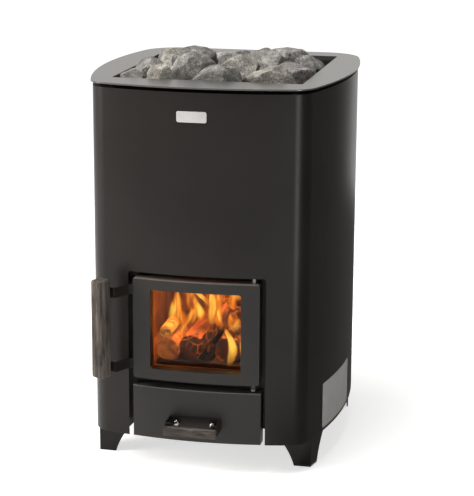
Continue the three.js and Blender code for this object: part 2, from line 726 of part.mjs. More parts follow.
function hingeLug(z0) {
  const z1 = z0 + HINGE_LUG_THICKNESS;
  const nose = arc(vec2(hingeX, hingeY), lugHalf, Math.PI, 2 * Math.PI);
  const rootY = frontPlateY - SEAT;
  const outline = [...nose, vec2(hingeX + lugHalf, rootY), vec2(hingeX - lugHalf, rootY)];
  return cut(alongZ(outline, z0, z1), disc(hingeX, hingeY, boreRadius, 0, RIM_HEIGHT));
}

// A pin from its tip in the door to its head beyond the lug
function hingePin(tip, lugFace, direction) {
  const headStart = lugFace + direction * SEAT;
  const headEnd = headStart + direction * HINGE_PIN_HEAD;
  const shank = [tip, headStart + direction * BITE].sort((a, b) => a - b);
  const head = [headStart, headEnd].sort((a, b) => a - b);
  return join(
    disc(hingeX, hingeY, pinRadius, shank[0], shank[1]),
    disc(hingeX, hingeY, lugHalf, head[0], head[1]),
  );
}

const upperLugZ = openingTop + SEAT;
const lowerLugZ = doorBottom - HINGE_LUG_REST - HINGE_LUG_THICKNESS;
addPart(heater, 'hinge_lug_upper', hingeLug(upperLugZ), heatSteel);
addPart(heater, 'hinge_lug_lower', hingeLug(lowerLugZ), heatSteel);

const upperPin = hingePin(doorTop - HINGE_PIN_DEPTH, upperLugZ + HINGE_LUG_THICKNESS, 1);
const lowerPin = hingePin(doorBottom + HINGE_PIN_DEPTH, lowerLugZ, -1);
addPart(heater, 'hinge_pin_upper', upperPin, bareSteel);
addPart(heater, 'hinge_pin_lower', lowerPin, bareSteel);

// Latch: a tongue behind the door that enters a forked keeper on the front plate
const latchX = -DOOR_WIDTH / 2 + LATCH_WIDTH / 2 + KEEPER_SHEET;
const latchReach = GASKET_DEPTH - LATCH_END_GAP;
const latchHalf = LATCH_THICKNESS / 2;
const latchRound = latchHalf / 2;

function doorLatch() {
  const outline = roundedRect(vec2(latchX, doorMiddle), LATCH_WIDTH, LATCH_THICKNESS, latchRound);
  return alongY(outline, doorBackY + SEAT, doorBackY + latchReach);
}

function latchKeeper() {
  const inner = latchHalf + LATCH_PLAY;
  const outer = inner + KEEPER_SHEET;
  const y0 = doorBackY + latchReach / 2;
  const y1 = frontPlateY - SEAT;
  const forkY = doorBackY + latchReach + SLIP;
  const half = LATCH_WIDTH / 2;
  return cut(
    block(latchX - half, y0, doorMiddle - outer, latchX + half, y1, doorMiddle + outer),
    block(latchX - far, -far, doorMiddle - inner, latchX + far, forkY, doorMiddle + inner),
  );
}

addPart(heater, 'latch_keeper', latchKeeper(), heatSteel);
addPart(door, 'door_latch', doorLatch(), heatSteel);

// Door: a bowed cast frame with a window, glass clamped from behind, and a rope gasket
const windowMiddle = vec2(0, doorMiddle);
const glassWidth = windowWidth + 2 * GLASS_LAP;
const glassHeight = windowHeight + 2 * GLASS_LAP;
const pocketDepth = GLASS_THICKNESS + RETAINER_THICKNESS + 2 * SEAT;
const glassY = doorBackY - pocketDepth + SEAT;
const retainerY = glassY + GLASS_THICKNESS + SEAT;
const pocketWidth = glassWidth + 2 * SLIP;
const pocketHeight = glassHeight + 2 * SLIP;

function doorFrame() {
  const bow = bowedBlock(DOOR_WIDTH / 2, -DOOR_PROUD, doorBackY, doorBottom, doorTop);
  const face = alongY(roundedRect(windowMiddle, DOOR_WIDTH, DOOR_HEIGHT, DOOR_CORNER), -far, far);
  const pinBores = [
    disc(hingeX, hingeY, boreRadius, doorBottom - BITE, doorBottom + HINGE_PIN_DEPTH + BITE),
    disc(hingeX, hingeY, boreRadius, doorTop - HINGE_PIN_DEPTH - BITE, doorTop + BITE),
  ];
  const pane = roundedRect(windowMiddle, windowWidth, windowHeight, WINDOW_CORNER);
  const pocket = roundedRect(windowMiddle, pocketWidth, pocketHeight, WINDOW_CORNER);
  return cut(
    overlap(bow, face),
    alongY(pane, -far, far),
    alongY(pocket, doorBackY - pocketDepth, far),
    ...pinBores,
  );
}

function doorGlass() {
  const outline = roundedRect(windowMiddle, glassWidth, glassHeight, WINDOW_CORNER);
  return alongY(outline, glassY, glassY + GLASS_THICKNESS);
}

function glassRetainer() {
  const hole = roundedRect(
    windowMiddle,
    glassWidth - 2 * RETAINER_LAP,
    glassHeight - 2 * RETAINER_LAP,
    WINDOW_CORNER,
  );
  const outline = roundedRect(windowMiddle, glassWidth, glassHeight, WINDOW_CORNER);
  return alongY(outline, retainerY, retainerY + RETAINER_THICKNESS, hole);
}

function doorGasket() {
  const innerWidth = pocketWidth + 2 * GASKET_MARGIN;
  const innerHeight = pocketHeight + 2 * GASKET_MARGIN;
  const hole = roundedRect(windowMiddle, innerWidth, innerHeight, WINDOW_CORNER);
  const outline = roundedRect(
    windowMiddle,
    innerWidth + 2 * GASKET_WIDTH,
    innerHeight + 2 * GASKET_WIDTH,
    WINDOW_CORNER + GASKET_WIDTH,
  );
  return alongY(outline, doorBackY + SEAT, frontPlateY - SEAT, hole);
}

addPart(door, 'door_frame', doorFrame(), doorPaint);
addPart(door, 'door_glass', doorGlass(), clearGlass);
addPart(door, 'glass_retainer', glassRetainer(), heatSteel);
addPart(door, 'door_gasket', doorGasket(), ropeSeal);

// Handle straps: flat bar bent out from the door's side, with a palm behind the wooden grip
const doorEdgeY = bowY(DOOR_WIDTH / 2, -DOOR_PROUD);
const strapRoot = vec2(-DOOR_WIDTH / 2 - SEAT, doorEdgeY + STRAP_THICKNESS + BITE);
const strapBend = strapRoot.clone().add(vec2(-STRAP_ROOT_WIDTH, -STRAP_ROOT_REACH));
const strapElbow = strapBend.clone().add(vec2(-STRAP_ARM_WIDTH, -STRAP_ARM_REACH));
const armWay = strapElbow.clone().sub(strapBend).normalize();
const palmWay = armWay.clone().rotateAround(vec2(0, 0), -Math.PI / 2);
const strapEnd = strapElbow.clone().addScaledVector(palmWay, STRAP_PALM);

// A flat bar on edge: the middle line thickened to both sides, with mitred bends
function barOnEdge(line, thickness) {
  const quarter = Math.PI / 2;
  const ways = line.slice(1).map((p, i) => p.clone().sub(line[i]).normalize());
  const normals = ways.map((way) => way.clone().rotateAround(vec2(0, 0), quarter));
  const offsets = line.map((_, i) => {
    const before = normals[Math.max(i - 1, 0)];
    const after = normals[Math.min(i, normals.length - 1)];
    const mitre = before.clone().add(after);
    return mitre.multiplyScalar(thickness / mitre.lengthSq());
  });
  const left = line.map((p, i) => p.clone().add(offsets[i]));
  const right = line.map((p, i) => p.clone().sub(offsets[i]));
  return [...left, ...right.reverse()];
}

function handleStrap(rise) {
  const middle = doorBottom + rise;
  const bar = barOnEdge([strapRoot, strapBend, strapElbow, strapEnd], STRAP_THICKNESS);
  const strap = alongZ(bar, middle - STRAP_HEIGHT / 2, middle + STRAP_HEIGHT / 2);
  return cut(strap, block(-DOOR_WIDTH / 2 - SEAT, -far, 0, far, far, RIM_HEIGHT));
}

addPart(door, 'handle_strap_upper', handleStrap(STRAP_UPPER), blackPaint);
addPart(door, 'handle_strap_lower', handleStrap(STRAP_LOWER), blackPaint);

function doorGrip() {
  const rounding = GRIP_ROUNDING;
  const outline = roundedRect(vec2(0, 0), GRIP_SIDE, GRIP_SIDE, rounding);
  const geometry = new THREE.ExtrudeGeometry(shapeOf(outline), {
    depth: GRIP_LENGTH - 2 * rounding,
    bevelEnabled: true,
    bevelThickness: rounding,
    bevelSize: rounding * GRIP_END_DRAW,
    bevelOffset: -rounding * GRIP_END_DRAW,
    bevelSegments: 3,
  });
  return geometry.translate(0, 0, rounding);
}

const gripMiddle = strapElbow.clone()
  .addScaledVector(palmWay, GRIP_END_GAP + GRIP_SIDE / 2)
  .addScaledVector(armWay, STRAP_THICKNESS / 2 + SEAT + GRIP_SIDE / 2);
const grip = addPart(door, 'door_grip', doorGrip(), smokedWood);
grip.position.set(gripMiddle.x, gripMiddle.y, doorBottom + GRIP_RISE);
grip.rotation.z = palmWay.angle();

// Ash drawer: a bowed front tray bolted to the flange of the ash pan
const drawerHalf = DRAWER_WIDTH / 2;
const trayBackY = panFlangeFrontY - SEAT;

function drawerFront() {
  const tray = bowedBlock(drawerHalf, DRAWER_SET_BACK, trayBackY, JACKET_BOTTOM, drawerTop);
  const hollow = bowedBlock(
    drawerHalf - DRAWER_SHEET,
    DRAWER_SET_BACK + DRAWER_SHEET,
    0,
    JACKET_BOTTOM + DRAWER_SHEET,
    drawerTop - DRAWER_SHEET,
  );
  return cut(tray, hollow, ...studHoles);
}

function ashPan() {
  const half = PAN_WIDTH / 2;
  const flange = alongY(
    rect(-drawerHalf, JACKET_BOTTOM, drawerHalf, drawerTop),
    panFlangeFrontY,
    panFlangeFrontY + PAN_SHEET,
  );
  const tub = cut(
    block(-half, panFlangeFrontY, panBottom, half, panBackY, panTop),
    block(
      -half + PAN_SHEET,
      panFlangeFrontY + PAN_SHEET,
      panBottom + PAN_SHEET,
      half - PAN_SHEET,
      panBackY - PAN_SHEET,
      far,
    ),
  );
  return join(flange, tub);
}

// Drawer handle: a sheet bracket bolted to the bowed face, with a wooden bar across its front
const bracketMiddle = JACKET_BOTTOM + BRACKET_RISE;
const bracketInset = DRAWER_SET_BACK - SEAT;
const bracketFaceInset = bracketInset - BRACKET_SHEET;
const barFrontY = frontY + DRAWER_SET_BACK - BAR_REACH;
const tabFrontY = barFrontY + BAR_DEPTH + SEAT;
const nutPlaces = { left: -NUT_SPACING / 2, right: NUT_SPACING / 2 };

// Places a piece made along y about the origin square on the bracket's bowed face
function seatOnFace(x, piece) {
  const radius = FRONT_BOW_RADIUS - bracketFaceInset + SEAT;
  piece.rotation.z = Math.asin(x / radius);
  piece.position.set(x, bowY(x, bracketFaceInset - SEAT), bracketMiddle);
  piece.updateMatrix();
  return piece;
}

function studHole(x) {
  const bore = new THREE.CylinderGeometry(
    STUD_DIAMETER / 2 + SLIP,
    STUD_DIAMETER / 2 + SLIP,
    2 * STUD_LENGTH + 2 * BITE,
    ROUND_SIDES / 2,
  );
  return bore.applyMatrix4(seatOnFace(x, new THREE.Object3D()).matrix);
}

const studHoles = Object.values(nutPlaces).map(studHole);

function handleBracket() {
  const half = BRACKET_WIDTH / 2;
  const z0 = bracketMiddle - BRACKET_HEIGHT / 2;
  const z1 = bracketMiddle + BRACKET_HEIGHT / 2;
  const base = bowedBlock(half, bracketFaceInset, frontCentre.y, z0, z1);
  const arms = [-half, half - BRACKET_SHEET].map((x) => (
    block(x, tabFrontY, z0, x + BRACKET_SHEET, frontCentre.y, z1)
  ));
  const tabs = [-half, half - BRACKET_TAB].map((x) => (
    block(x, tabFrontY, z0, x + BRACKET_TAB, tabFrontY + BRACKET_SHEET, z1)
  ));
  const drawerFace = bowedBlock(drawerHalf, bracketInset, frontCentre.y + BITE, 0, RIM_HEIGHT);
  return cut(join(base, ...arms, ...tabs), drawerFace, ...studHoles);
}

// A wooden bar along x with rounded edges
function handleBar() {
  const section = roundedRect(vec2(0, 0), BAR_HEIGHT, BAR_DEPTH, BAR_ROUNDING);
  return alongZ(section, -BAR_WIDTH / 2, BAR_WIDTH / 2).rotateY(Math.PI / 2);
}

// A dome nut pointing forwards, with the stud it is screwed on behind it
function domeNut() {
  const radius = NUT_DIAMETER / 2;
  const studRadius = STUD_DIAMETER / 2;
  const dome = arc(vec2(0, NUT_HEIGHT - radius), radius, 0, Math.PI / 2, ARC_STEPS / 2);
  const profile = [
    vec2(0, -STUD_LENGTH),
    vec2(studRadius, -STUD_LENGTH),
    vec2(studRadius, 0),
    vec2(radius, 0),
    ...dome.slice(0, -1),
    vec2(0, NUT_HEIGHT),
  ];
  return new THREE.LatheGeometry(profile, ROUND_SIDES / 2).rotateX(Math.PI);
}

addPart(ashDrawer, 'drawer_front', drawerFront(), doorPaint);
addPart(ashDrawer, 'ash_pan', ashPan(), heatSteel);
addPart(ashDrawer, 'drawer_handle_bracket', handleBracket(), blackPaint);
const bar = addPart(ashDrawer, 'drawer_grip', handleBar(), smokedWood);
bar.position.set(0, barFrontY + BAR_DEPTH / 2, bracketMiddle - BAR_DROP);
for (const [place, x] of Object.entries(nutPlaces)) {
  seatOnFace(x, addPart(ashDrawer, `dome_nut_${place}`, domeNut(), bareSteel));
}

// Firewood: two split logs on the grate and one laid across them, each as tall as the next
const logHeight = 2 * LOG_RADIUS * (1 - LOG_UNEVENNESS);

function splitLog(seed) {
  const outline = Array.from({ length: LOG_SIDES }, (_, i) => {
    const angle = 2 * Math.PI * i / LOG_SIDES;
    const swell = Math.sin(3 * angle + seed) * Math.cos(angle - seed);
    const radius = LOG_RADIUS * (1 - LOG_UNEVENNESS + LOG_UNEVENNESS * swell);
    return vec2(radius * Math.cos(angle), radius * Math.sin(angle));
  });
  const log = alongY(outline, -LOG_LENGTH / 2, LOG_LENGTH / 2);
  log.computeBoundingBox();
  const { min, max } = log.boundingBox;
  return log.translate(0, 0, -min.z).scale(1, 1, logHeight / (max.z - min.z));
}

const logRest = grateTop + SEAT;
const logY = grateFrontY + GRATE_DEPTH / 2;
const logPlaces = {
  log_left: { at: [-LOG_SPACING / 2, logY, logRest], turn: 0 },
  log_right: { at: [LOG_SPACING / 2, logY, logRest], turn: 0 },
  log_top: { at: [0, logY, logRest + logHeight + SEAT], turn: LOG_CROSSING },
};
Object.entries(logPlaces).forEach(([name, { at, turn }], seed) => {
  const log = addPart(heater, name, splitLog(seed), firewood);
  log.position.set(...at);
  log.rotation.z = turn;
});

// Stones: the lower layers as one lumpy bed, and the top layer as separate broken stones
const bedTop = RIM_HEIGHT - STONE_BED_DROP;
const wallGap = SLIP + BASKET_SHEET + STONE_GAP;
const stoneHalfWidth = stoneOpeningWidth / 2 - wallGap;
const stoneHalfDepth = stoneOpeningDepth / 2 - wallGap;

function stoneBed() {
  const columns = Math.round(stoneOpeningWidth / STONE_BED_PITCH) * 2;
  const rows = Math.round(stoneOpeningDepth / STONE_BED_PITCH) * 2;
  const bottom = basketBottom + BASKET_SHEET + SEAT;
  const height = bedTop - STONE_GAP - bottom;
  const bed = new THREE.BoxGeometry(
    2 * (stoneHalfWidth - STONE_OPENING_CORNER),
    2 * (stoneHalfDepth - STONE_OPENING_CORNER),
    height,
    columns,
    rows,
    1,
  );
  const place = bed.attributes.position;
  for (let i = 0; i < place.count; i += 1) {
    if (place.getZ(i) > 0) {
      const turn = 2 * Math.PI / STONE_BED_PITCH;
      const wave = Math.sin(turn * place.getX(i)) * Math.cos(turn * place.getY(i));
      place.setZ(i, place.getZ(i) - STONE_BED_RELIEF * wave * wave);
    }
  }
  return bed.translate(0, stoneMiddleY, bottom + height / 2);
}

addPart(heater, 'stone_bed', stoneBed(), stoneGrey);

// Each stone: place as a share of the opening's half width and half depth, height of its middle
// above the bed and half sizes as shares of a middling stone's, and turn about the vertical
const stones = [
  { at: [-0.84, -0.78], rise: 0.48, half: [0.92, 1.00, 0.88], turn: 0.5 },
  { at: [-0.52, -0.80], rise: 0.64, half: [1.12, 0.92, 0.92], turn: -0.3 },
  { at: [-0.28, -0.48], rise: 0.92, half: [1.28, 1.16, 0.96], turn: 0.4 },
  { at: [0.06, -0.76], rise: 0.72, half: [1.56, 1.12, 0.88], turn: 0.1 },
  { at: [0.58, -0.70], rise: 0.72, half: [1.44, 1.24, 1.04], turn: 0.35 },
  { at: [0.90, -0.84], rise: 0.36, half: [0.72, 0.88, 0.68], turn: 0 },
  { at: [-0.82, -0.26], rise: 0.64, half: [1.00, 1.32, 0.92], turn: -0.2 },
  { at: [-0.42, 0.02], rise: 0.92, half: [1.52, 1.28, 0.92], turn: 0.15 },
  { at: [0.16, -0.34], rise: 0.80, half: [1.24, 1.04, 0.96], turn: -0.2 },
  { at: [0.34, 0.06], rise: 0.92, half: [1.60, 1.28, 0.92], turn: 0.25 },
  { at: [0.80, -0.32], rise: 0.76, half: [1.12, 1.20, 1.04], turn: 0.6 },
  { at: [0.82, 0.26], rise: 0.68, half: [1.16, 1.52, 0.92], turn: 0.1 },
  { at: [-0.12, 0.54], rise: 0.68, half: [1.68, 1.48, 0.88], turn: -0.15 },
  { at: [-0.74, 0.52], rise: 0.56, half: [1.32, 1.80, 0.92], turn: 0.1 },
  { at: [0.50, 0.70], rise: 0.60, half: [1.76, 1.44, 0.92], turn: 0.2 },
];

const stoneCentres = stones.map(({ at, rise }) => vec3(
  at[0] * stoneHalfWidth,
  stoneMiddleY + at[1] * stoneHalfDepth,
  bedTop + rise * STONE_SIZE,
));
const stoneHalves = stones.map(({ half }) => vec3(...half).multiplyScalar(STONE_SIZE));
const stoneReach = stoneHalves.map(({ x, y }) => (x + y) / 2);

// Flat faces that bound a stone, as outward normals with their distances from its middle: the
// basket's walls, the bed, the neighbouring stones and its own broken faces
function stoneFaces(index) {
  const centre = stoneCentres[index];
  const faces = [
    { normal: vec3(1, 0, 0), distance: stoneHalfWidth - centre.x },
    { normal: vec3(-1, 0, 0), distance: stoneHalfWidth + centre.x },
    { normal: vec3(0, 1, 0), distance: stoneMiddleY + stoneHalfDepth - centre.y },
    { normal: vec3(0, -1, 0), distance: centre.y - stoneMiddleY + stoneHalfDepth },
    { normal: vec3(0, 0, -1), distance: centre.z - bedTop },
  ];
  stoneCentres.forEach((other, j) => {
    if (j === index) return;
    const way = other.clone().sub(centre);
    const span = way.length();
    const share = (span * span + stoneReach[index] ** 2 - stoneReach[j] ** 2) / (2 * span);
    faces.push({ normal: way.divideScalar(span), distance: share - STONE_GAP / 2 });
  });
  const goldenAngle = Math.PI * (3 - Math.sqrt(5));
  for (let k = 0; k < BROKEN_FACES; k += 1) {
    const z = 1 - (2 * k + 1) / BROKEN_FACES;
    const angle = goldenAngle * (k + index);
    const level = Math.sqrt(1 - z * z);
    const normal = vec3(level * Math.cos(angle), level * Math.sin(angle), z);
    const support = normal.clone().multiply(stoneHalves[index]).length();
    const depth = BROKEN_DEPTH + BROKEN_SPREAD * Math.sin(k * k + index);
    faces.push({ normal, distance: support * depth });
  }
  return faces;
}

function stone(index) {
  const { turn } = stones[index];
  const faces = stoneFaces(index);
  const ball = new THREE.IcosahedronGeometry(1, 2).deleteAttribute('normal').deleteAttribute('uv');
  const geometry = mergeVertices(ball, WELD);
  const place = geometry.attributes.position;
  const ray = vec3(0, 0, 0);
  for (let i = 0; i < place.count; i += 1) {
    ray.fromBufferAttribute(place, i).multiply(stoneHalves[index]).applyAxisAngle(vec3(0, 0, 1), turn);
    const reach = faces.reduce((least, { normal, distance }) => {
      const towards = normal.dot(ray);
      return towards > 0 ? Math.min(least, distance / towards) : least;
    }, 1);
    place.setXYZ(i, ray.x * reach, ray.y * reach, ray.z * reach);
  }
  geometry.computeVertexNormals();
  return geometry;
}

stones.forEach((_, index) => {
  const mesh = addPart(heater, `stone_${index + 1}`, stone(index), stoneGrey);
  mesh.position.copy(stoneCentres[index]);
});

// The origin goes under the middle of the box round all the pieces
const box = new THREE.Box3().setFromObject(heater, true);
heater.position.y = -(box.min.y + box.max.y) / 2;

export default heater;
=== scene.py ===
import json
import math
import random

import bmesh
import bpy
from mathutils import Matrix, Vector, noise

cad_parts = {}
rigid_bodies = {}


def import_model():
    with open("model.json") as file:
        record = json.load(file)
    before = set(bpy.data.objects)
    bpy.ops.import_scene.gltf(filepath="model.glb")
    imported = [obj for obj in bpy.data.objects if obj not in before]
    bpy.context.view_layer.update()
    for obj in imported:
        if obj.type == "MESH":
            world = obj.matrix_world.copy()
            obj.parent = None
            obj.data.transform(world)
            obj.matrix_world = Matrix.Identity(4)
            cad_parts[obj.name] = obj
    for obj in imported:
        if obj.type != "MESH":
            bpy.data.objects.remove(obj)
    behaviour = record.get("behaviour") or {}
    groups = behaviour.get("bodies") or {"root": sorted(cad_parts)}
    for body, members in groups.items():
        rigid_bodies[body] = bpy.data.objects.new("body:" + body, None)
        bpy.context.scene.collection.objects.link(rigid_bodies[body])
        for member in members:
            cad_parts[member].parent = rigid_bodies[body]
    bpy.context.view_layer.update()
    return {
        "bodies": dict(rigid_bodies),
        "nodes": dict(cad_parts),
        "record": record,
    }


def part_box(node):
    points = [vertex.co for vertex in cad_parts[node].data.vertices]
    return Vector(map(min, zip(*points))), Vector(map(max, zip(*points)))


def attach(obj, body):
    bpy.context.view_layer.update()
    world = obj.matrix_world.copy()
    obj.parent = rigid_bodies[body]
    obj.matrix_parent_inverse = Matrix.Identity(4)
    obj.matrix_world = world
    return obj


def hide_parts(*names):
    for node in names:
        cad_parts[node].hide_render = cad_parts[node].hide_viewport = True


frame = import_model()
nodes = frame["nodes"]
record = frame["record"]
body_of = {node: body for body, held in record["behaviour"]["bodies"].items() for node in held}
slot_of = {row["node"]: row["material_slot"] for row in record["subparts"]}

# Sizes in metres, read from the frame where it holds them
MM = 0.001
FRONT_BOW_RADIUS = 0.728
SIDE_BOW_RADIUS = 0.860
FRONT_REACH = 0.304  # widest line of the jacket to the middle of its front
ROOM_UNDER_BAFFLE = 8 * MM

front_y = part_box("jacket_front")[0].y
widest_y = front_y + FRONT_REACH
half_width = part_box("jacket_right")[1].x
rim_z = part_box("top_collar")[1].z
chamber_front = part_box("firebox_shell")[0].y
grate_low, grate_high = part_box("grate")
flame_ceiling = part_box("baffle")[0].z - ROOM_UNDER_BAFFLE

ACROSS, UPRIGHT = 0, 2  # axes by number
UNSTRETCHED = (1.0, 1.0, 1.0)
UNSHIFTED = (0.0, 0.0, 0.0)
BLACK = (0.0, 0.0, 0.0)
WHITE = (1.0, 1.0, 1.0)
WARM_WHITE = (1.0, 0.96, 0.92)
FIRE_ORANGE = (1.0, 0.36, 0.07)


# Shader expressions

class Wire:
    """A shader socket that takes part in Python arithmetic."""

    def __init__(self, graph, socket):
        self.graph = graph
        self.socket = socket

    def math(self, operation, first, second):
        return self.graph.node("ShaderNodeMath", {"operation": operation}, {0: first, 1: second})

    def __add__(self, other):
        return self.math("ADD", self, other)

    def __sub__(self, other):
        return self.math("SUBTRACT", self, other)

    def __rsub__(self, other):
        return self.math("SUBTRACT", other, self)

    def __mul__(self, other):
        return self.math("MULTIPLY", self, other)

    def __truediv__(self, other):
        return self.math("DIVIDE", self, other)

    def __pow__(self, other):
        return self.math("POWER", self, other)

    __radd__ = __add__
    __rmul__ = __mul__

    def between(self, low, high):
        """Nothing below low, one above high, and a smooth step between them."""
        settings = {"interpolation_type": "SMOOTHSTEP"}
        sockets = {"Value": self, "From Min": low, "From Max": high, "To Min": 0.0, "To Max": 1.0}
        return self.graph.node("ShaderNodeMapRange", settings, sockets)


class Graph:
    """A node tree that is filled one node at a time."""

    def __init__(self, tree):
        self.tree = tree

    def feed(self, socket, value):
        """Links a wire to a socket, or sets its value; a colour becomes opaque."""
        if isinstance(value, Wire):
            self.tree.links.new(value.socket, socket)
        elif isinstance(value, tuple) and len(socket.default_value) == 4:
            socket.default_value = (*value, 1.0)
        else:
            socket.default_value = value

    def node(self, kind, settings=None, sockets=None, output=0):
        """Adds a node, sets it, feeds its sockets, and gives one of its outputs."""
        made = self.tree.nodes.new(kind)
        for key, value in (settings or {}).items():
            if key == "stops":
                self.set_stops(made.color_ramp.elements, value)
            else:
                setattr(made, key, value)
        for key, value in (sockets or {}).items():
            self.feed(made.inputs[key], value)
        return Wire(self, made.outputs[output]) if made.outputs else None

    @staticmethod
    def set_stops(elements, stops):
        while len(elements) < len(stops):
            elements.new(1.0)
        for element, (position, colour) in zip(elements, stops):
            element.position = position
            element.color = (*colour, 1.0)


class Finish(Graph):
    """A material built from nodes on one Principled shader."""

    def __init__(self, name):
        self.material = bpy.data.materials.new(name)
        self.material.use_nodes = True
        super().__init__(self.material.node_tree)
        self.shader = self.tree.nodes["Principled BSDF"]
        self.place = None

    def at(self, stretch=UNSTRETCHED, shift=UNSHIFTED):
        """The place on the object in metres, stretched and shifted."""
        if self.place is None:
            self.place = self.node("ShaderNodeTexCoord", output="Object")
        sockets = {"Vector": self.place, "Scale": stretch, "Location": shift}
        return self.node("ShaderNodeMapping", None, sockets)

    def axis(self, index):
        """One coordinate of the place on the object."""
        return self.node("ShaderNodeSeparateXYZ", None, {0: self.at()}, output=index)

    def cloud(
        self, scale, detail=4.0, roughness=0.55, stretch=UNSTRETCHED, shift=UNSHIFTED, bend=0.0
    ):
        """Soft noise from nought to one."""
        sockets = {
            "Vector": self.at(stretch, shift),
            "Scale": scale,
            "Detail": detail,
            "Roughness": roughness,
            "Distortion": bend,
        }
        return self.node("ShaderNodeTexNoise", None, sockets)

    def cells(self, scale, feature="F1", stretch=UNSTRETCHED):
        """The distance within cells, from their middles or from their edges."""
        sockets = {"Vector": self.at(stretch), "Scale": scale}
        return self.node("ShaderNodeTexVoronoi", {"feature": feature}, sockets)

    def mix(self, factor, first, second):
        """A blend of two colours, whose sockets come after those for numbers and vectors."""
        sockets = {0: factor, 6: first, 7: second}
        return self.node("ShaderNodeMix", {"data_type": "RGBA"}, sockets, output=2)

    def ramp(self, value, stops):
        return self.node("ShaderNodeValToRGB", {"stops": stops}, {0: value})

    def bump(self, height, strength, distance):
        sockets = {"Strength": strength, "Distance": distance, "Height": height}
        return self.node("ShaderNodeBump", None, sockets)

    def wear(self, **sockets):
        """Sets the shader's sockets, named with underscores for spaces."""
        for key, value in sockets.items():
            self.feed(self.shader.inputs[key.replace("_", " ")], value)
        return self.material


# Finishes

def satin_paint(name, dark, light, roughness, shine, highlight_node=None):
    """Heat-resistant satin paint: faint clouding, fine orange peel and a few dusty patches.
    Given a node, the paint has a painted highlight along that node's upper edge, stronger in the dusty
    patches."""
    # The colour of the painted highlight along the given node's top edge
    painted_highlight_grey = (0.16, 0.155, 0.145)
    paint = Finish(name)
    clouding = paint.cloud(5.0, detail=3.0)
    peel = paint.cloud(700.0, detail=2.0)
    dust = paint.cloud(38.0, detail=6.0, roughness=0.7).between(0.55, 0.8)
    tone = paint.mix(clouding.between(0.3, 0.7), dark, light)
    if highlight_node:
        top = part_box(highlight_node)[1].z
        # Painted highlight: a band rising over the last 2.6 mm under the node's top, stronger in the dusty
        # patches
        edge = paint.axis(UPRIGHT).between(top - 2.6 * MM, top - 0.4 * MM) * (0.6 + 0.4 * dust)
        tone = paint.mix(edge, tone, painted_highlight_grey)
    return paint.wear(
        Base_Color=tone,
        Roughness=roughness + 0.05 * clouding + 0.05 * dust,
        Specular_IOR_Level=shine,
        Normal=paint.bump(peel, 0.05, 0.2 * MM),
    )


def heat_steel():
    """Steel darkened by heat: blotches of blue-grey and brown with scale."""
    steel = Finish("heat_steel")
    blotch = steel.cloud(14.0, detail=6.0)
    scale = steel.cloud(260.0, detail=5.0, roughness=0.65)
    tone = steel.ramp(blotch, [
        (0.30, (0.020, 0.019, 0.020)),
        (0.55, (0.034, 0.029, 0.025)),
        (0.75, (0.050, 0.040, 0.032)),
    ])
    return steel.wear(
        Base_Color=tone,
        Metallic=0.35,
        Roughness=0.5 + 0.25 * scale,
        Normal=steel.bump(scale, 0.25, 0.5 * MM),
    )


def scorched_wall():
    """The fire chamber's lining: brown and tan patches under streaks of soot."""
    brown, tan, soot_black = (0.13, 0.062, 0.034), (0.24, 0.125, 0.068), (0.03, 0.02, 0.015)
    wall = Finish("scorched_wall")
    patch = wall.cloud(20.0, detail=6.0)
    grit = wall.cloud(300.0, detail=5.0, roughness=0.7)
    soot = wall.cloud(26.0, detail=4.0, stretch=(1.0, 1.0, 0.3)).between(0.48, 0.7)
    tone = wall.mix(patch.between(0.35, 0.65), brown, tan)
    return wall.wear(
        Base_Color=wall.mix(soot * 0.7, tone, soot_black),
        Roughness=0.85 + 0.1 * grit,
        Normal=wall.bump(grit, 0.4, 0.8 * MM),
    )


def cast_iron():
    """Rough sand-cast iron with rust in the low spots."""
    grey, rust_brown = (0.026, 0.024, 0.023), (0.075, 0.032, 0.016)
    iron = Finish("cast_iron")
    sand = iron.cloud(420.0, detail=6.0, roughness=0.7)
    rust = iron.cloud(30.0, detail=5.0).between(0.5, 0.72)
    return iron.wear(
        Base_Color=iron.mix(rust, grey, rust_brown),
        Metallic=0.25,
        Roughness=0.7 + 0.2 * sand,
        Normal=iron.bump(sand, 0.5, 0.8 * MM),
    )


def turned_steel(name, clean, spotted, polish):
    """Steel with fine turning marks and a few dull spots."""
    steel = Finish(name)
    marks = steel.cloud(900.0, detail=3.0, stretch=(1.0, 1.0, 6.0))
    dull = steel.cloud(120.0, detail=4.0).between(0.5, 0.75)
    return steel.wear(
        Base_Color=steel.mix(dull, clean, spotted),
        Metallic=1.0,
        Roughness=polish + 0.12 * marks + 0.1 * dull,
        Normal=steel.bump(marks, 0.04, 0.1 * MM),
    )


def drawn_out(along, share):
    """The stretch of a pattern that runs along one axis."""
    return tuple(share if axis == along else 1.0 for axis in range(3))


def smoked_wood(name, along):
    """Heat-treated wood: brown-grey with knots, dark streaks and open pores along the grain."""
    knot_brown, streak_brown = (0.012, 0.008, 0.006), (0.012, 0.009, 0.007)
    wood = Finish(name)
    grain = drawn_out(along, 0.07)
    rings = wood.cloud(150.0, detail=5.0, roughness=0.62, stretch=grain, bend=0.7)
    pores = wood.cloud(620.0, detail=3.0, roughness=0.7, stretch=grain)
    streak = wood.cloud(210.0, detail=4.0, stretch=grain, shift=(0.3, 0.1, 0.7)).between(0.52, 0.72)
    knot = wood.cloud(34.0, detail=4.0, stretch=drawn_out(along, 0.4)).between(0.54, 0.66)
    tone = wood.ramp(rings, [
        (0.30, (0.017, 0.012, 0.010)),
        (0.50, (0.058, 0.047, 0.039)),
        (0.70, (0.150, 0.130, 0.113)),
    ])
    knotted = wood.mix(knot * 0.7, tone, knot_brown)
    return wood.wear(
        Base_Color=wood.mix(streak * 0.7, knotted, streak_brown),
        Roughness=0.66 + 0.2 * pores,
        Specular_IOR_Level=0.25,
        Normal=wood.bump(0.6 * rings + 0.4 * pores, 0.55, 0.8 * MM),
    )


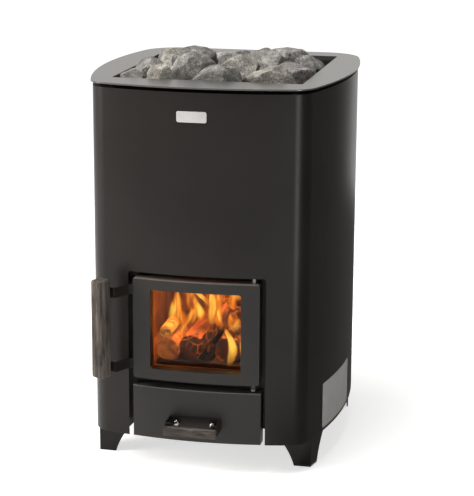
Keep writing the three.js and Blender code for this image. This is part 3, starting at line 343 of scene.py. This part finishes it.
def firewood():
    """Charring wood: brown bark cracked into cells, with embers glowing in the cracks."""
    ember_orange = (0.9, 0.20, 0.02)
    wood = Finish("firewood")
    bark = wood.cloud(60.0, detail=6.0, roughness=0.65, stretch=(1.0, 0.2, 1.0))
    crack = wood.cells(55.0, "DISTANCE_TO_EDGE", (1.0, 0.4, 1.0)).between(0.0, 0.09)
    ember = (1.0 - crack) * wood.cloud(16.0, detail=3.0).between(0.45, 0.65)
    tone = wood.ramp(bark, [
        (0.30, (0.020, 0.008, 0.004)),
        (0.50, (0.070, 0.026, 0.010)),
        (0.72, (0.150, 0.058, 0.020)),
    ])
    return wood.wear(
        Base_Color=tone,
        Roughness=0.85 + 0.1 * bark,
        Emission_Color=wood.mix(ember, BLACK, ember_orange),
        Emission_Strength=0.7,
        Normal=wood.bump(bark * crack, 0.8, 3.0 * MM),
    )


def burning_end(name, across, height, core, rim):
    """Burning wood with growth rings on its cut end, glowing from the core colour to that of its rim."""
    char_brown, raw_brown = (0.10, 0.035, 0.012), (0.30, 0.12, 0.035)
    ring_brown, dying_red = (0.035, 0.014, 0.006), (0.10, 0.020, 0.002)
    wood = Finish(name)
    aside = wood.axis(ACROSS) - across
    above = wood.axis(UPRIGHT) - height
    reach = (aside * aside + above * above) ** 0.5
    rings = wood.node("ShaderNodeMath", {"operation": "SINE"}, {0: reach * 2200.0})
    char = wood.cloud(70.0, detail=5.0, roughness=0.65)
    glow = reach.between(2.0 * MM, 20.0 * MM) * char.between(0.3, 0.6)
    tone = wood.mix(char.between(0.35, 0.7), char_brown, raw_brown)
    return wood.wear(
        Base_Color=wood.mix(0.5 + 0.3 * rings, tone, ring_brown),
        Roughness=0.9,
        Emission_Color=wood.mix(char.between(0.34, 0.62), dying_red, wood.mix(glow, core, rim)),
        Emission_Strength=0.75,
        Normal=wood.bump(char, 0.6, 2.0 * MM),
    )


def broken_stone(name, dark, middle, light):
    """Rough broken stone: mottled grey with pale and dark mineral grains and fine pits."""
    stone = Finish(name)
    mottle = stone.cloud(34.0, detail=8.0, roughness=0.68)
    grain = stone.cells(330.0)
    grit = stone.cloud(260.0, detail=6.0, roughness=0.75)
    tone = stone.ramp(mottle, [(0.30, dark), (0.50, middle), (0.70, light)])
    speckled = stone.mix(grain.between(0.45, 0.75) * 0.6, tone, dark)
    dusted = stone.mix(grit.between(0.54, 0.68) * 0.6, speckled, light)
    return stone.wear(
        Base_Color=dusted,
        Roughness=0.86 + 0.12 * grit,
        Normal=stone.bump(0.6 * grit + 0.4 * mottle, 0.55, 1.4 * MM),
    )


def rope_seal():
    """Braided heat-resistant rope."""
    sooty, clean = (0.07, 0.066, 0.06), (0.2, 0.19, 0.17)
    rope = Finish("rope_seal")
    weave = {"Vector": rope.at(), "Scale": 110.0}
    braid = rope.node("ShaderNodeTexWave", {"bands_direction": "DIAGONAL"}, weave)
    fluff = rope.cloud(500.0, detail=4.0)
    return rope.wear(
        Base_Color=rope.mix(braid * fluff, sooty, clean),
        Roughness=0.95,
        Normal=rope.bump(0.7 * braid + 0.3 * fluff, 0.8, 1.5 * MM),
    )


def fire_glass():
    """Heat-resistant glass with a faint film of soot towards its lower edge."""
    clear, smoked = (0.98, 0.95, 0.9), (0.55, 0.42, 0.3)
    glass = Finish("fire_glass")
    low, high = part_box("door_glass")
    film = glass.cloud(22.0, detail=5.0)
    height = (glass.axis(UPRIGHT) - low.z) / (high.z - low.z)
    soot = (1.0 - height.between(0.05, 0.35)) * film
    return glass.wear(
        Base_Color=glass.mix(soot, clear, smoked),
        Roughness=0.01 + 0.05 * soot,
        Transmission_Weight=1.0,
        IOR=1.14,
    )


def flame_glow():
    """Fire: yellow at the root through orange to a torn red tip, clear at the rims of each tongue."""
    cooling_height = 0.2
    flame = Finish("flame_glow")
    height = (flame.axis(UPRIGHT) - grate_high.z) / cooling_height
    lick = flame.cloud(30.0, detail=4.0, stretch=(1.0, 1.0, 0.3), bend=1.4)
    body = flame.node("ShaderNodeAttribute", {"attribute_name": "body"}, output="Fac")
    heat = 0.58 - 0.20 * height + 2.3 * (lick - 0.5) + 0.28 * body
    tone = flame.ramp(heat, [
        (0.20, (0.16, 0.012, 0.001)),
        (0.48, (0.42, 0.060, 0.003)),
        (0.72, (0.80, 0.190, 0.008)),
        (0.98, (1.00, 0.600, 0.080)),
    ])
    return flame.wear(
        Base_Color=BLACK,
        Specular_IOR_Level=0.0,
        Roughness=1.0,
        Emission_Color=tone,
        Emission_Strength=1.15,
        Alpha=heat.between(0.36, 0.90) * body,
    )


def brushed_plate():
    """A plain satin plate with fine brushing."""
    dull, bright = (0.44, 0.435, 0.42), (0.58, 0.575, 0.56)
    plate = Finish("brushed_plate")
    brushing = plate.cloud(420.0, detail=4.0, stretch=(0.05, 0.05, 1.0))
    smudge = plate.cloud(45.0, detail=4.0)
    return plate.wear(
        Base_Color=plate.mix(smudge, dull, bright),
        Metallic=0.55,
        Roughness=0.3 + 0.15 * brushing,
        Normal=plate.bump(brushing, 0.06, 0.1 * MM),
    )


def plain_sheet():
    """A plain grey adhesive sheet, slightly mottled."""
    dark, light = (0.235, 0.228, 0.217), (0.32, 0.311, 0.297)
    sheet = Finish("plain_sheet")
    fibre = sheet.cloud(340.0, detail=4.0)
    stain = sheet.cloud(24.0, detail=4.0)
    return sheet.wear(
        Base_Color=sheet.mix(stain, dark, light),
        Roughness=0.55 + 0.15 * fibre,
        Normal=sheet.bump(fibre, 0.08, 0.1 * MM),
    )


grey_stone = broken_stone("stone_grey", (0.044, 0.041, 0.037), (0.175, 0.167, 0.153), (0.47, 0.45, 0.42))
warm_stone = broken_stone("stone_warm", (0.052, 0.047, 0.040), (0.205, 0.190, 0.165), (0.50, 0.47, 0.42))
dark_stone = broken_stone("stone_dark", (0.032, 0.030, 0.027), (0.120, 0.114, 0.105), (0.36, 0.345, 0.32))
plum_stone = broken_stone("stone_plum", (0.046, 0.041, 0.039), (0.165, 0.149, 0.143), (0.41, 0.38, 0.36))

jacket_coat = {
    "dark": (0.0100, 0.0082, 0.0068), "light": (0.0132, 0.0112, 0.0095), "roughness": 0.30, "shine": 0.17,
}
collar_coat = {
    "dark": (0.055, 0.053, 0.050), "light": (0.068, 0.066, 0.062), "roughness": 0.26, "shine": 0.6,
}
door_coat = {
    "dark": (0.0165, 0.0148, 0.0128), "light": (0.021, 0.0190, 0.0166), "roughness": 0.36, "shine": 0.22,
}
finishes = {
    "jacket_paint": satin_paint("jacket_paint", **jacket_coat),
    "collar_paint": satin_paint("collar_paint", **collar_coat),
    "heat_steel": heat_steel(),
    "cast_iron": cast_iron(),
    "bare_steel": turned_steel("bright_steel", (0.33, 0.32, 0.305), (0.22, 0.215, 0.205), polish=0.14),
    "rope_seal": rope_seal(),
    "glass": fire_glass(),
}
oiled_steel = turned_steel("oiled_steel", (0.15, 0.145, 0.14), (0.09, 0.086, 0.08), polish=0.36)
# These door and drawer paints carry a painted highlight along the top edges of the door frame and the
# drawer front
door_paint_highlit_edge = satin_paint("door_paint_highlit_edge", **door_coat, highlight_node="door_frame")
drawer_paint_highlit_edge = satin_paint("drawer_paint_highlit_edge", **door_coat, highlight_node="drawer_front")
upright_wood = smoked_wood("upright_wood", UPRIGHT)
level_wood = smoked_wood("level_wood", ACROSS)
log_finish = firewood()
flame_finish = flame_glow()


# Pieces

def put_in_scene(item):
    bpy.context.scene.collection.objects.link(item)


def add_piece(name, mesh, finish, body, slot, *replaced):
    """A visible piece that moves with a body and may stand for CAD nodes."""
    piece = bpy.data.objects.new(name, mesh)
    put_in_scene(piece)
    mesh.materials.append(finish)
    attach(piece, body)
    if replaced:
        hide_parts(*replaced)
    return piece


def node_shape(node):
    """A copy of a node's shape as a bmesh with shared corners."""
    same_place = 0.002 * MM
    source = nodes[node].data
    shape = bmesh.new()
    corners = [shape.verts.new(v.co) for v in source.vertices]
    for face in source.polygons:
        shape.faces.new([corners[i] for i in face.vertices])
    bmesh.ops.remove_doubles(shape, verts=shape.verts, dist=same_place)
    return shape


def to_mesh(shape, name, smooth=True):
    """Turns a bmesh into a mesh and frees it."""
    for face in shape.faces:
        face.smooth = smooth
    mesh = bpy.data.meshes.new(name)
    shape.to_mesh(mesh)
    shape.free()
    return mesh


def round_edges(piece, width):
    """Rounds the sharp edges of a piece and keeps its flat faces flat in the light."""
    bevel = piece.modifiers.new("edges", "BEVEL")
    bevel.width = width
    bevel.segments = 2
    bevel.limit_method = "ANGLE"
    bevel.angle_limit = math.radians(26)
    shading = piece.modifiers.new("shading", "WEIGHTED_NORMAL")
    shading.weight = 60


def softened(node, width, finish=None):
    """The node's piece with its edges rounded and its curves shaded smooth."""
    still_flat = math.radians(0.15)
    name = node + "_finished"
    slot = slot_of[node]
    shape = node_shape(node)
    bmesh.ops.dissolve_limit(shape, angle_limit=still_flat, verts=shape.verts, edges=shape.edges)
    mesh = to_mesh(shape, name)
    piece = add_piece(name, mesh, finish or finishes[slot], body_of[node], slot, node)
    round_edges(piece, width)


# Width of the rounded edges in millimetres
edge_rounding = {
    "jacket_front": 0.5, "jacket_left": 0.5, "jacket_right": 0.5, "jacket_rear": 0.5,
    "top_collar": 0.9,
    "handle_strap_upper": 0.8, "handle_strap_lower": 0.8, "drawer_handle_bracket": 0.5,
    "leg_front_left": 0.6, "leg_front_right": 0.6, "leg_rear_left": 0.6, "leg_rear_right": 0.6,
    "hinge_lug_upper": 0.6, "hinge_lug_lower": 0.6,
    "dome_nut_left": 0.4, "dome_nut_right": 0.4, "flue_spigot": 0.5,
    "collar_spacer_front_left": 0.4, "collar_spacer_front_right": 0.4,
    "collar_spacer_rear_left": 0.4, "collar_spacer_rear_right": 0.4,
    "grate": 0.8, "baffle": 0.8, "firebox_front": 0.6, "ash_pan": 0.4, "tie_ring": 0.4,
}
for node_name, rounding in edge_rounding.items():
    softened(node_name, rounding * MM)
softened("door_frame", 1.6 * MM, door_paint_highlit_edge)
softened("drawer_front", 1.0 * MM, drawer_paint_highlit_edge)
softened("hinge_pin_upper", 0.5 * MM, oiled_steel)
softened("hinge_pin_lower", 0.5 * MM, oiled_steel)
softened("door_grip", 1.0 * MM, upright_wood)
softened("drawer_grip", 3.0 * MM, level_wood)

# Nodes that show as they are, in the finish of their slot
kept_nodes = (
    "base_plate", "ash_box", "stone_basket", "latch_keeper",
    "door_latch", "door_glass", "glass_retainer", "door_gasket",
)
for node_name in kept_nodes:
    nodes[node_name].material_slots[0].material = finishes[slot_of[node_name]]
nodes["firebox_shell"].material_slots[0].material = scorched_wall()


# Stones

def evened(shape, face_size):
    """The shape rebuilt from small even faces."""
    coarse = to_mesh(shape, "coarse")
    holder = bpy.data.objects.new("coarse", coarse)
    put_in_scene(holder)
    rebuild = holder.modifiers.new("rebuild", "REMESH")
    rebuild.mode = "VOXEL"
    rebuild.voxel_size = face_size
    even = bmesh.new()
    even.from_object(holder, bpy.context.evaluated_depsgraph_get())
    bpy.data.objects.remove(holder)
    bpy.data.meshes.remove(coarse)
    return even


def chip(shape, centre, draw, chips, depth):
    """Breaks flat faces off a convex stone, each by a part of the depth, a share of its reach."""
    for _ in range(chips):
        way = Vector((draw.gauss(0, 1), draw.gauss(0, 1), draw.gauss(0, 0.8))).normalized()
        reach = max((v.co - centre).dot(way) for v in shape.verts)
        at = centre + way * reach * (1.0 - depth * draw.uniform(0.4, 1.0))
        parts = list(shape.verts) + list(shape.edges) + list(shape.faces)
        cut = bmesh.ops.bisect_plane(shape, geom=parts, plane_co=at, plane_no=way, clear_outer=True)
        rim = [item for item in cut["geom_cut"] if isinstance(item, bmesh.types.BMEdge)]
        if rim:
            bmesh.ops.edgeloop_fill(shape, edges=rim)


def roughen(shape, seed, coarse, fine):
    """Pits the surface inwards, with broad hollows and a fine tooth."""
    hollows_per_metre, teeth_per_metre = 32.0, 150.0
    shape.normal_update()
    shift = Vector((seed * 1.7, seed * 0.9, seed * 2.3))
    moves = []
    for vert in shape.verts:
        broad = noise.fractal(vert.co * hollows_per_metre + shift, 0.8, 2.0, 4)
        tooth = noise.fractal(vert.co * teeth_per_metre + shift, 0.9, 2.0, 3)
        moves.append(-vert.normal * (coarse * abs(broad) + fine * abs(tooth)))
    for vert, move in zip(shape.verts, moves):
        vert.co += move


def middle_of(shape):
    return sum((v.co for v in shape.verts), Vector()) / len(shape.verts)


def heaped_stone(index, finish):
    """A stone of the top layer, broken into faces and pitted."""
    node = f"stone_{index}"
    name = node + "_broken"
    shape = node_shape(node)
    chip(shape, middle_of(shape), random.Random(100 + index), chips=14, depth=0.26)
    shape = evened(shape, 2.4 * MM)
    roughen(shape, index, coarse=1.2 * MM, fine=0.6 * MM)
    add_piece(name, to_mesh(shape, name, smooth=False), finish, "heater", "stone", node)


top_layer = (
    grey_stone, warm_stone, grey_stone, dark_stone, warm_stone,
    plum_stone, grey_stone, dark_stone, warm_stone, grey_stone,
    plum_stone, dark_stone, grey_stone, warm_stone, grey_stone,
)
for stone_index, stone_finish in enumerate(top_layer, start=1):
    heaped_stone(stone_index, stone_finish)


def add_lump(heap, draw, centre, radius):
    """Adds a small broken lump to a heap."""
    shape = bmesh.new()
    bmesh.ops.create_icosphere(shape, subdivisions=2, radius=radius)
    squash = Matrix.Diagonal((draw.uniform(0.8, 1.2), draw.uniform(0.8, 1.2), draw.uniform(0.6, 0.9), 1.0))
    pole = Vector((draw.gauss(0, 1), draw.gauss(0, 1), 1.0)).normalized()
    turn = Matrix.Rotation(draw.uniform(0, math.tau), 4, pole)
    bmesh.ops.transform(shape, matrix=turn @ squash, verts=shape.verts)
    chip(shape, Vector(), draw, chips=7, depth=0.3)
    bmesh.ops.translate(shape, verts=shape.verts, vec=centre)
    loose = to_mesh(shape, "loose")
    heap.from_mesh(loose)
    bpy.data.meshes.remove(loose)


def stones_below():
    """The lower layers: the bed roughened, with smaller stones in the gaps of the top layer."""
    stones_per_heap = 26
    low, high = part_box("stone_bed")
    draw = random.Random(7)
    for group, finish in enumerate((grey_stone, warm_stone, dark_stone)):
        name = f"lower_stones_{group + 1}"
        replaced = ["stone_bed"] if group == 0 else []
        heap = node_shape("stone_bed") if replaced else bmesh.new()
        for _ in range(stones_per_heap):
            radius = draw.uniform(17, 30) * MM
            centre = Vector((
                draw.uniform(low.x + radius, high.x - radius),
                draw.uniform(low.y + radius, high.y - radius),
                high.z + draw.uniform(-4, 20) * MM,
            ))
            add_lump(heap, draw, centre, radius)
        heap = evened(heap, 3.2 * MM)
        roughen(heap, group + 40, coarse=2.0 * MM, fine=0.8 * MM)
        add_piece(name, to_mesh(heap, name, smooth=False), finish, "heater", "stone", *replaced)


stones_below()


# Firewood and fire

def split_log(node):
    """A log of the CAD model with pitted bark."""
    name = node + "_bark"
    shape = evened(node_shape(node), 3.0 * MM)
    roughen(shape, len(node) * 3.1, coarse=3.0 * MM, fine=1.2 * MM)
    add_piece(name, to_mesh(shape, name), log_finish, "heater", "firewood", node)


for log_name in ("log_left", "log_right", "log_top"):
    split_log(log_name)


def skin(shape, rows):
    """Closes rings of corners into a tube with a face at each end."""
    shape.faces.new(rows[0][::-1])
    for row, after in zip(rows, rows[1:]):
        for side in range(len(row)):
            beside = (side + 1) % len(row)
            shape.faces.new((row[side], row[beside], after[beside], after[side]))
    shape.faces.new(rows[-1])


def flame_tongue(name, across, depth, foot, height, width, lean, phase):
    """A twisting tongue of fire: a lens-shaped section that swells, curls and thins to a point."""
    rings, sides = 20, 16
    shape = bmesh.new()
    body = shape.verts.layers.float.new("body")
    rows = []
    for ring in range(rings):
        t = ring / (rings - 1)
        swell = math.sin(math.pi * (0.08 + 0.92 * t) ** 0.75) * (1.0 - 0.3 * t)
        half = max(width / 2 * swell, 0.2 * MM)
        sway = 0.5 * lean * math.sin(1.7 * math.pi * t + phase)
        middle = Vector((across + lean * t + sway, chamber_front + depth + 0.4 * sway, foot + height * t))
        twist = Matrix.Rotation(0.6 * math.sin(phase + 2.4 * t), 3, "Z")
        row = []
        for side in range(sides):
            angle = math.tau * side / sides
            flat = Vector((half * math.cos(angle), 0.4 * half * math.sin(angle), 0.0))
            corner = shape.verts.new(middle + twist @ flat)
            corner[body] = abs(math.sin(angle)) * min(1.0, t / 0.4) * min(1.0, (1.0 - t) / 0.5)
            row.append(corner)
        rows.append(row)
    skin(shape, rows)
    add_piece(name, to_mesh(shape, name), flame_finish, "heater", "firewood")


def fire():
    """Tongues at chance places behind the window, and two in front of the logs at the right."""
    tongues = 18
    logs_reach = 60 * MM
    draw = random.Random(21)
    for index in range(tongues):
        across = draw.uniform(-92, 92) * MM
        depth = draw.uniform(32, 150) * MM
        rise = draw.uniform(60, 115) if abs(across) < logs_reach else draw.uniform(4, 60)
        foot = grate_high.z + rise * MM
        height = min(draw.uniform(70, 150) * MM, flame_ceiling - foot)
        width = draw.uniform(10, 26) * MM + 0.12 * depth
        lean = draw.uniform(-20, 20) * MM - 0.15 * across
        phase = draw.uniform(0, math.tau)
        flame_tongue(f"flame_{index + 1}", across, depth, foot, height, width, lean, phase)
    low_foot = grate_high.z + 3 * MM
    flame_tongue(
        "flame_right", across=52 * MM, depth=50 * MM, foot=low_foot,
        height=104 * MM, width=22 * MM, lean=-16 * MM, phase=2.6,
    )
    flame_tongue(
        "flame_beside", across=70 * MM, depth=62 * MM, foot=low_foot,
        height=70 * MM, width=18 * MM, lean=8 * MM, phase=0.8,
    )


fire()


def billet(name, across, rise, radius, seed, core, rim):
    """A short round of burning wood beside the logs, its cut end towards the window."""
    sides, rings = 20, 5
    length = 110 * MM
    front = grate_low.y - 4 * MM
    middle = grate_high.z + rise + radius
    draw = random.Random(seed)
    reaches = [radius * (1.0 + 0.06 * draw.uniform(-1, 1)) for _ in range(sides)]
    shape = bmesh.new()
    rows = []
    for ring in range(rings):
        y = front + length * ring / (rings - 1)
        row = []
        for side, reach in enumerate(reaches):
            angle = math.tau * side / sides
            corner = (across + reach * math.cos(angle), y, middle + reach * math.sin(angle))
            row.append(shape.verts.new(corner))
        rows.append(row)
    skin(shape, rows)
    bmesh.ops.recalc_face_normals(shape, faces=shape.faces)
    shape = evened(shape, 2.2 * MM)
    roughen(shape, seed, coarse=1.6 * MM, fine=0.8 * MM)
    finish = burning_end(name + "_glow", across, middle, core, rim)
    add_piece(name, to_mesh(shape, name), finish, "heater", "firewood")


billet(
    "billet_lower", across=-84 * MM, rise=0.0, radius=24 * MM, seed=3,
    core=(0.20, 0.060, 0.008), rim=(0.34, 0.10, 0.012),
)
billet(
    "billet_upper", across=-89 * MM, rise=48 * MM, radius=13 * MM, seed=5,
    core=(0.90, 0.40, 0.05), rim=(1.0, 0.32, 0.03),
)


def ember_heap():
    """Glowing lumps of burnt wood on the grate, between and beside the logs."""
    lumps = 46
    margin = 12 * MM
    draw = random.Random(31)
    heap = bmesh.new()
    for _ in range(lumps):
        radius = draw.uniform(5, 11) * MM
        centre = Vector((
            draw.uniform(grate_low.x + margin, grate_high.x - margin),
            grate_low.y + draw.uniform(6, 120) * MM,
            grate_high.z + 0.55 * radius,
        ))
        add_lump(heap, draw, centre, radius)
    heap = evened(heap, 2.0 * MM)
    roughen(heap, 61, coarse=1.2 * MM, fine=0.6 * MM)
    add_piece("ember_heap", to_mesh(heap, "ember_heap"), log_finish, "heater", "firewood")


ember_heap()


# Bare plates

def rounded_half_height(along, length, height, radius):
    """Half the height of a rounded rectangle at a distance from its middle."""
    into_corner = abs(along) - (length / 2 - radius)
    if into_corner <= 0:
        return height / 2
    return height / 2 - radius + math.sqrt(max(radius ** 2 - into_corner ** 2, 0.0))


def on_front(x, stand_off):
    """A point of the bowed front at x, moved off the sheet, without its height."""
    radius = FRONT_BOW_RADIUS + stand_off
    return Vector((x, front_y + FRONT_BOW_RADIUS - math.sqrt(radius ** 2 - x ** 2), 0.0))


def on_right_side(y, stand_off):
    """A point of the bowed right side at y, moved off the sheet, without its height."""
    radius = SIDE_BOW_RADIUS + stand_off
    back = y - widest_y
    return Vector((half_width - SIDE_BOW_RADIUS + math.sqrt(radius ** 2 - back ** 2), y, 0.0))


def bowed_plate(name, surface, start, end, low, high, corner_radius, thickness, finish):
    """A thin plate with rounded corners that lies on a bowed surface."""
    columns = 28
    length, height = end - start, high - low
    shape = bmesh.new()
    layers = []
    for stand_off in (0.05 * MM, thickness):
        rows = []
        for column in range(columns + 1):
            along = length * (column / columns - 0.5)
            half = rounded_half_height(along, length, height, corner_radius)
            foot = surface((start + end) / 2 + along, stand_off)
            rows.append([
                shape.verts.new(foot + Vector((0, 0, (low + high) / 2 - half))),
                shape.verts.new(foot + Vector((0, 0, (low + high) / 2 + half))),
            ])
        layers.append(rows)
    inner, outer = layers
    for column in range(columns):
        near, after = outer[column], outer[column + 1]
        deep, beyond = inner[column], inner[column + 1]
        shape.faces.new((near[0], after[0], after[1], near[1]))
        shape.faces.new((deep[0], deep[1], beyond[1], beyond[0]))
        shape.faces.new((near[0], deep[0], beyond[0], after[0]))
        shape.faces.new((near[1], after[1], beyond[1], deep[1]))
    for column, turn in ((0, 1), (columns, -1)):
        loop = (outer[column][0], outer[column][1], inner[column][1], inner[column][0])
        shape.faces.new(loop[::turn])
    bmesh.ops.recalc_face_normals(shape, faces=shape.faces)
    piece = add_piece(name, to_mesh(shape, name), finish, "heater", "bare_steel")
    round_edges(piece, 0.25 * thickness)


bowed_plate(
    "front_plate", on_front, start=-0.036, end=0.0225, low=0.697, high=0.718,
    corner_radius=2.5 * MM, thickness=1.0 * MM, finish=brushed_plate(),
)
bowed_plate(
    "side_plate", on_right_side, start=widest_y - 0.185, end=widest_y + 0.002, low=0.068, high=0.162,
    corner_radius=1.5 * MM, thickness=0.4 * MM, finish=plain_sheet(),
)


# Floor, light and camera

def studio_floor():
    """Pale paper that glows, with painted shade near the object that fades to white away from it."""
    half_size = 30.0
    dull_white, clear_white = (0.80, 0.80, 0.80), (0.84, 0.84, 0.84)
    # Painted shade: the glow is dimmer within 0.9 m of the middle and rises to full by 2.6 m
    painted_shade_glow, far_glow = (0.64, 0.64, 0.64), (0.85, 0.85, 0.85)
    paper = Finish("floor_paper")
    fibre = paper.cloud(3.0, detail=3.0)
    away = paper.node("ShaderNodeVectorMath", {"operation": "LENGTH"}, {0: paper.at()}, output="Value")
    shape = bmesh.new()
    bmesh.ops.create_grid(shape, x_segments=1, y_segments=1, size=half_size)
    mesh = to_mesh(shape, "studio_floor")
    mesh.materials.append(paper.wear(
        Base_Color=paper.mix(fibre, dull_white, clear_white),
        Roughness=0.9,
        Specular_IOR_Level=0.1,
        Emission_Color=paper.mix(away.between(0.9, 2.6), painted_shade_glow, far_glow),
        Emission_Strength=1.0,
    ))
    floor = bpy.data.objects.new("studio_floor", mesh)
    put_in_scene(floor)


def dark_screen():
    """A dim screen with a flap on the floor, which shows only in the gloss of the right side."""
    near_x, far_x = half_width + 0.22, half_width + 0.57
    near_y, far_y = widest_y - 0.60, widest_y + 2.40
    flap_x = half_width - 0.06
    low_z, high_z = 4 * MM, rim_z + 0.3
    shape = bmesh.new()
    low = [shape.verts.new((near_x, near_y, low_z)), shape.verts.new((far_x, far_y, low_z))]
    high = [shape.verts.new((near_x, near_y, high_z)), shape.verts.new((far_x, far_y, high_z))]
    flap = [shape.verts.new((flap_x, near_y, low_z)), shape.verts.new((flap_x, far_y, low_z))]
    shape.faces.new((low[0], low[1], high[1], high[0]))
    shape.faces.new((flap[0], flap[1], low[1], low[0]))
    mesh = to_mesh(shape, "dark_screen")
    cloth = Finish("screen_cloth")
    weave = cloth.cloud(300.0, detail=2.0)
    mesh.materials.append(cloth.wear(
        Base_Color=cloth.mix(weave, (0.004, 0.004, 0.004), (0.008, 0.008, 0.008)),
        Roughness=1.0,
        Specular_IOR_Level=0.0,
        Emission_Color=(0.14, 0.134, 0.128),
        Emission_Strength=1.0,
    ))
    screen = bpy.data.objects.new("dark_screen", mesh)
    screen.visible_camera = False
    screen.visible_shadow = False
    screen.visible_diffuse = False
    put_in_scene(screen)


def soft_box(name, place, target, size, power, colour, lights_matt=True):
    """A lamp with a soft edge, unseen by the camera, which may show in gloss alone."""
    lamp = bpy.data.lights.new(name, "AREA")
    lamp.shape = "RECTANGLE"
    lamp.size, lamp.size_y = size
    lamp.energy = power
    lamp.color = colour
    holder = bpy.data.objects.new(name, lamp)
    holder.location = place
    holder.rotation_mode = "QUATERNION"
    holder.rotation_quaternion = (Vector(target) - Vector(place)).to_track_quat("-Z", "Y")
    holder.visible_camera = False
    holder.visible_diffuse = lights_matt
    put_in_scene(holder)


def fire_light(name, place, power):
    """A lamp in the flames that lights the chamber and isn't seen itself."""
    lamp = bpy.data.lights.new(name, "POINT")
    lamp.energy = power
    lamp.color = FIRE_ORANGE
    lamp.shadow_soft_size = 0.03
    holder = bpy.data.objects.new(name, lamp)
    holder.location = place
    holder.visible_camera = False
    holder.visible_transmission = False
    holder.visible_glossy = False
    holder.parent = frame["bodies"]["heater"]
    put_in_scene(holder)


def studio_air():
    """A white surround for the eye, and one that lights the object, brightest straight behind it."""
    bright_way = (0.26, 0.957, 0.13)
    air_colour = (0.80, 0.78, 0.756)
    world = bpy.data.worlds.new("studio_air")
    bpy.context.scene.world = world
    world.use_nodes = True
    world.node_tree.nodes.clear()
    air = Graph(world.node_tree)
    way = air.node("ShaderNodeTexCoord", output="Generated")
    both_ways = {0: way, 1: bright_way}
    towards = air.node("ShaderNodeVectorMath", {"operation": "DOT_PRODUCT"}, both_ways, output="Value")
    dim = air.node("ShaderNodeBackground", None, {"Color": air_colour, "Strength": 0.10})
    bright = air.node("ShaderNodeBackground", None, {"Color": air_colour, "Strength": 1.2})
    lit = air.node("ShaderNodeMixShader", None, {0: towards.between(0.35, 0.97), 1: dim, 2: bright})
    seen = air.node("ShaderNodeBackground", None, {"Color": WHITE, "Strength": 1.0})
    to_eye = air.node("ShaderNodeLightPath", output="Is Camera Ray")
    whole = air.node("ShaderNodeMixShader", None, {0: to_eye, 1: lit, 2: seen})
    air.node("ShaderNodeOutputWorld", None, {"Surface": whole})


def photo_camera():
    """The camera at the photograph's angle, from a fit to its corners in a frame of 474 by 496 pixels."""
    focal_pixels, frame_height = 1721.2, 496.0
    place = Vector((0.7624, -3.3608, 1.2468))
    yaw, pitch, roll = math.radians(12.364), math.radians(13.920), math.radians(0.332)
    ahead = Vector((-math.sin(yaw) * math.cos(pitch), math.cos(yaw) * math.cos(pitch), -math.sin(pitch)))
    level = Vector((math.cos(yaw), math.sin(yaw), 0.0))
    upright = level.cross(ahead)
    right = level * math.cos(roll) + upright * math.sin(roll)
    up = upright * math.cos(roll) - level * math.sin(roll)
    lens = bpy.data.cameras.new("photo_camera")
    lens.lens = focal_pixels / frame_height * lens.sensor_width
    lens.clip_end = 60.0
    camera = bpy.data.objects.new("photo_camera", lens)
    turned = Matrix((right, up, -ahead)).transposed().to_4x4()
    camera.matrix_world = Matrix.Translation(place) @ turned
    put_in_scene(camera)
    bpy.context.scene.camera = camera


studio_floor()
dark_screen()
studio_air()
photo_camera()
soft_box(
    "left_box", place=(-2.5, -1.2, 1.5), target=(0.0, 0.0, 0.4), size=(1.2, 2.0),
    power=96.0, colour=WARM_WHITE,
)
soft_box(
    "corner_strip", place=(0.86, -0.98, 0.46), target=(0.2, -0.22, 0.46), size=(0.08, 0.9),
    power=7.0, colour=WARM_WHITE, lights_matt=False,
)
soft_box(
    "top_box", place=(-0.4, -0.4, 3.0), target=(0.0, 0.0, 0.5), size=(1.5, 1.5),
    power=80.0, colour=WHITE,
)
flames_y = chamber_front + 0.10
fire_light("fire_low", place=(0.06, flames_y, 0.275), power=6.0)
fire_light("fire_high", place=(-0.06, flames_y, 0.335), power=8.0)
bpy.context.scene.view_settings.view_transform = "Standard"
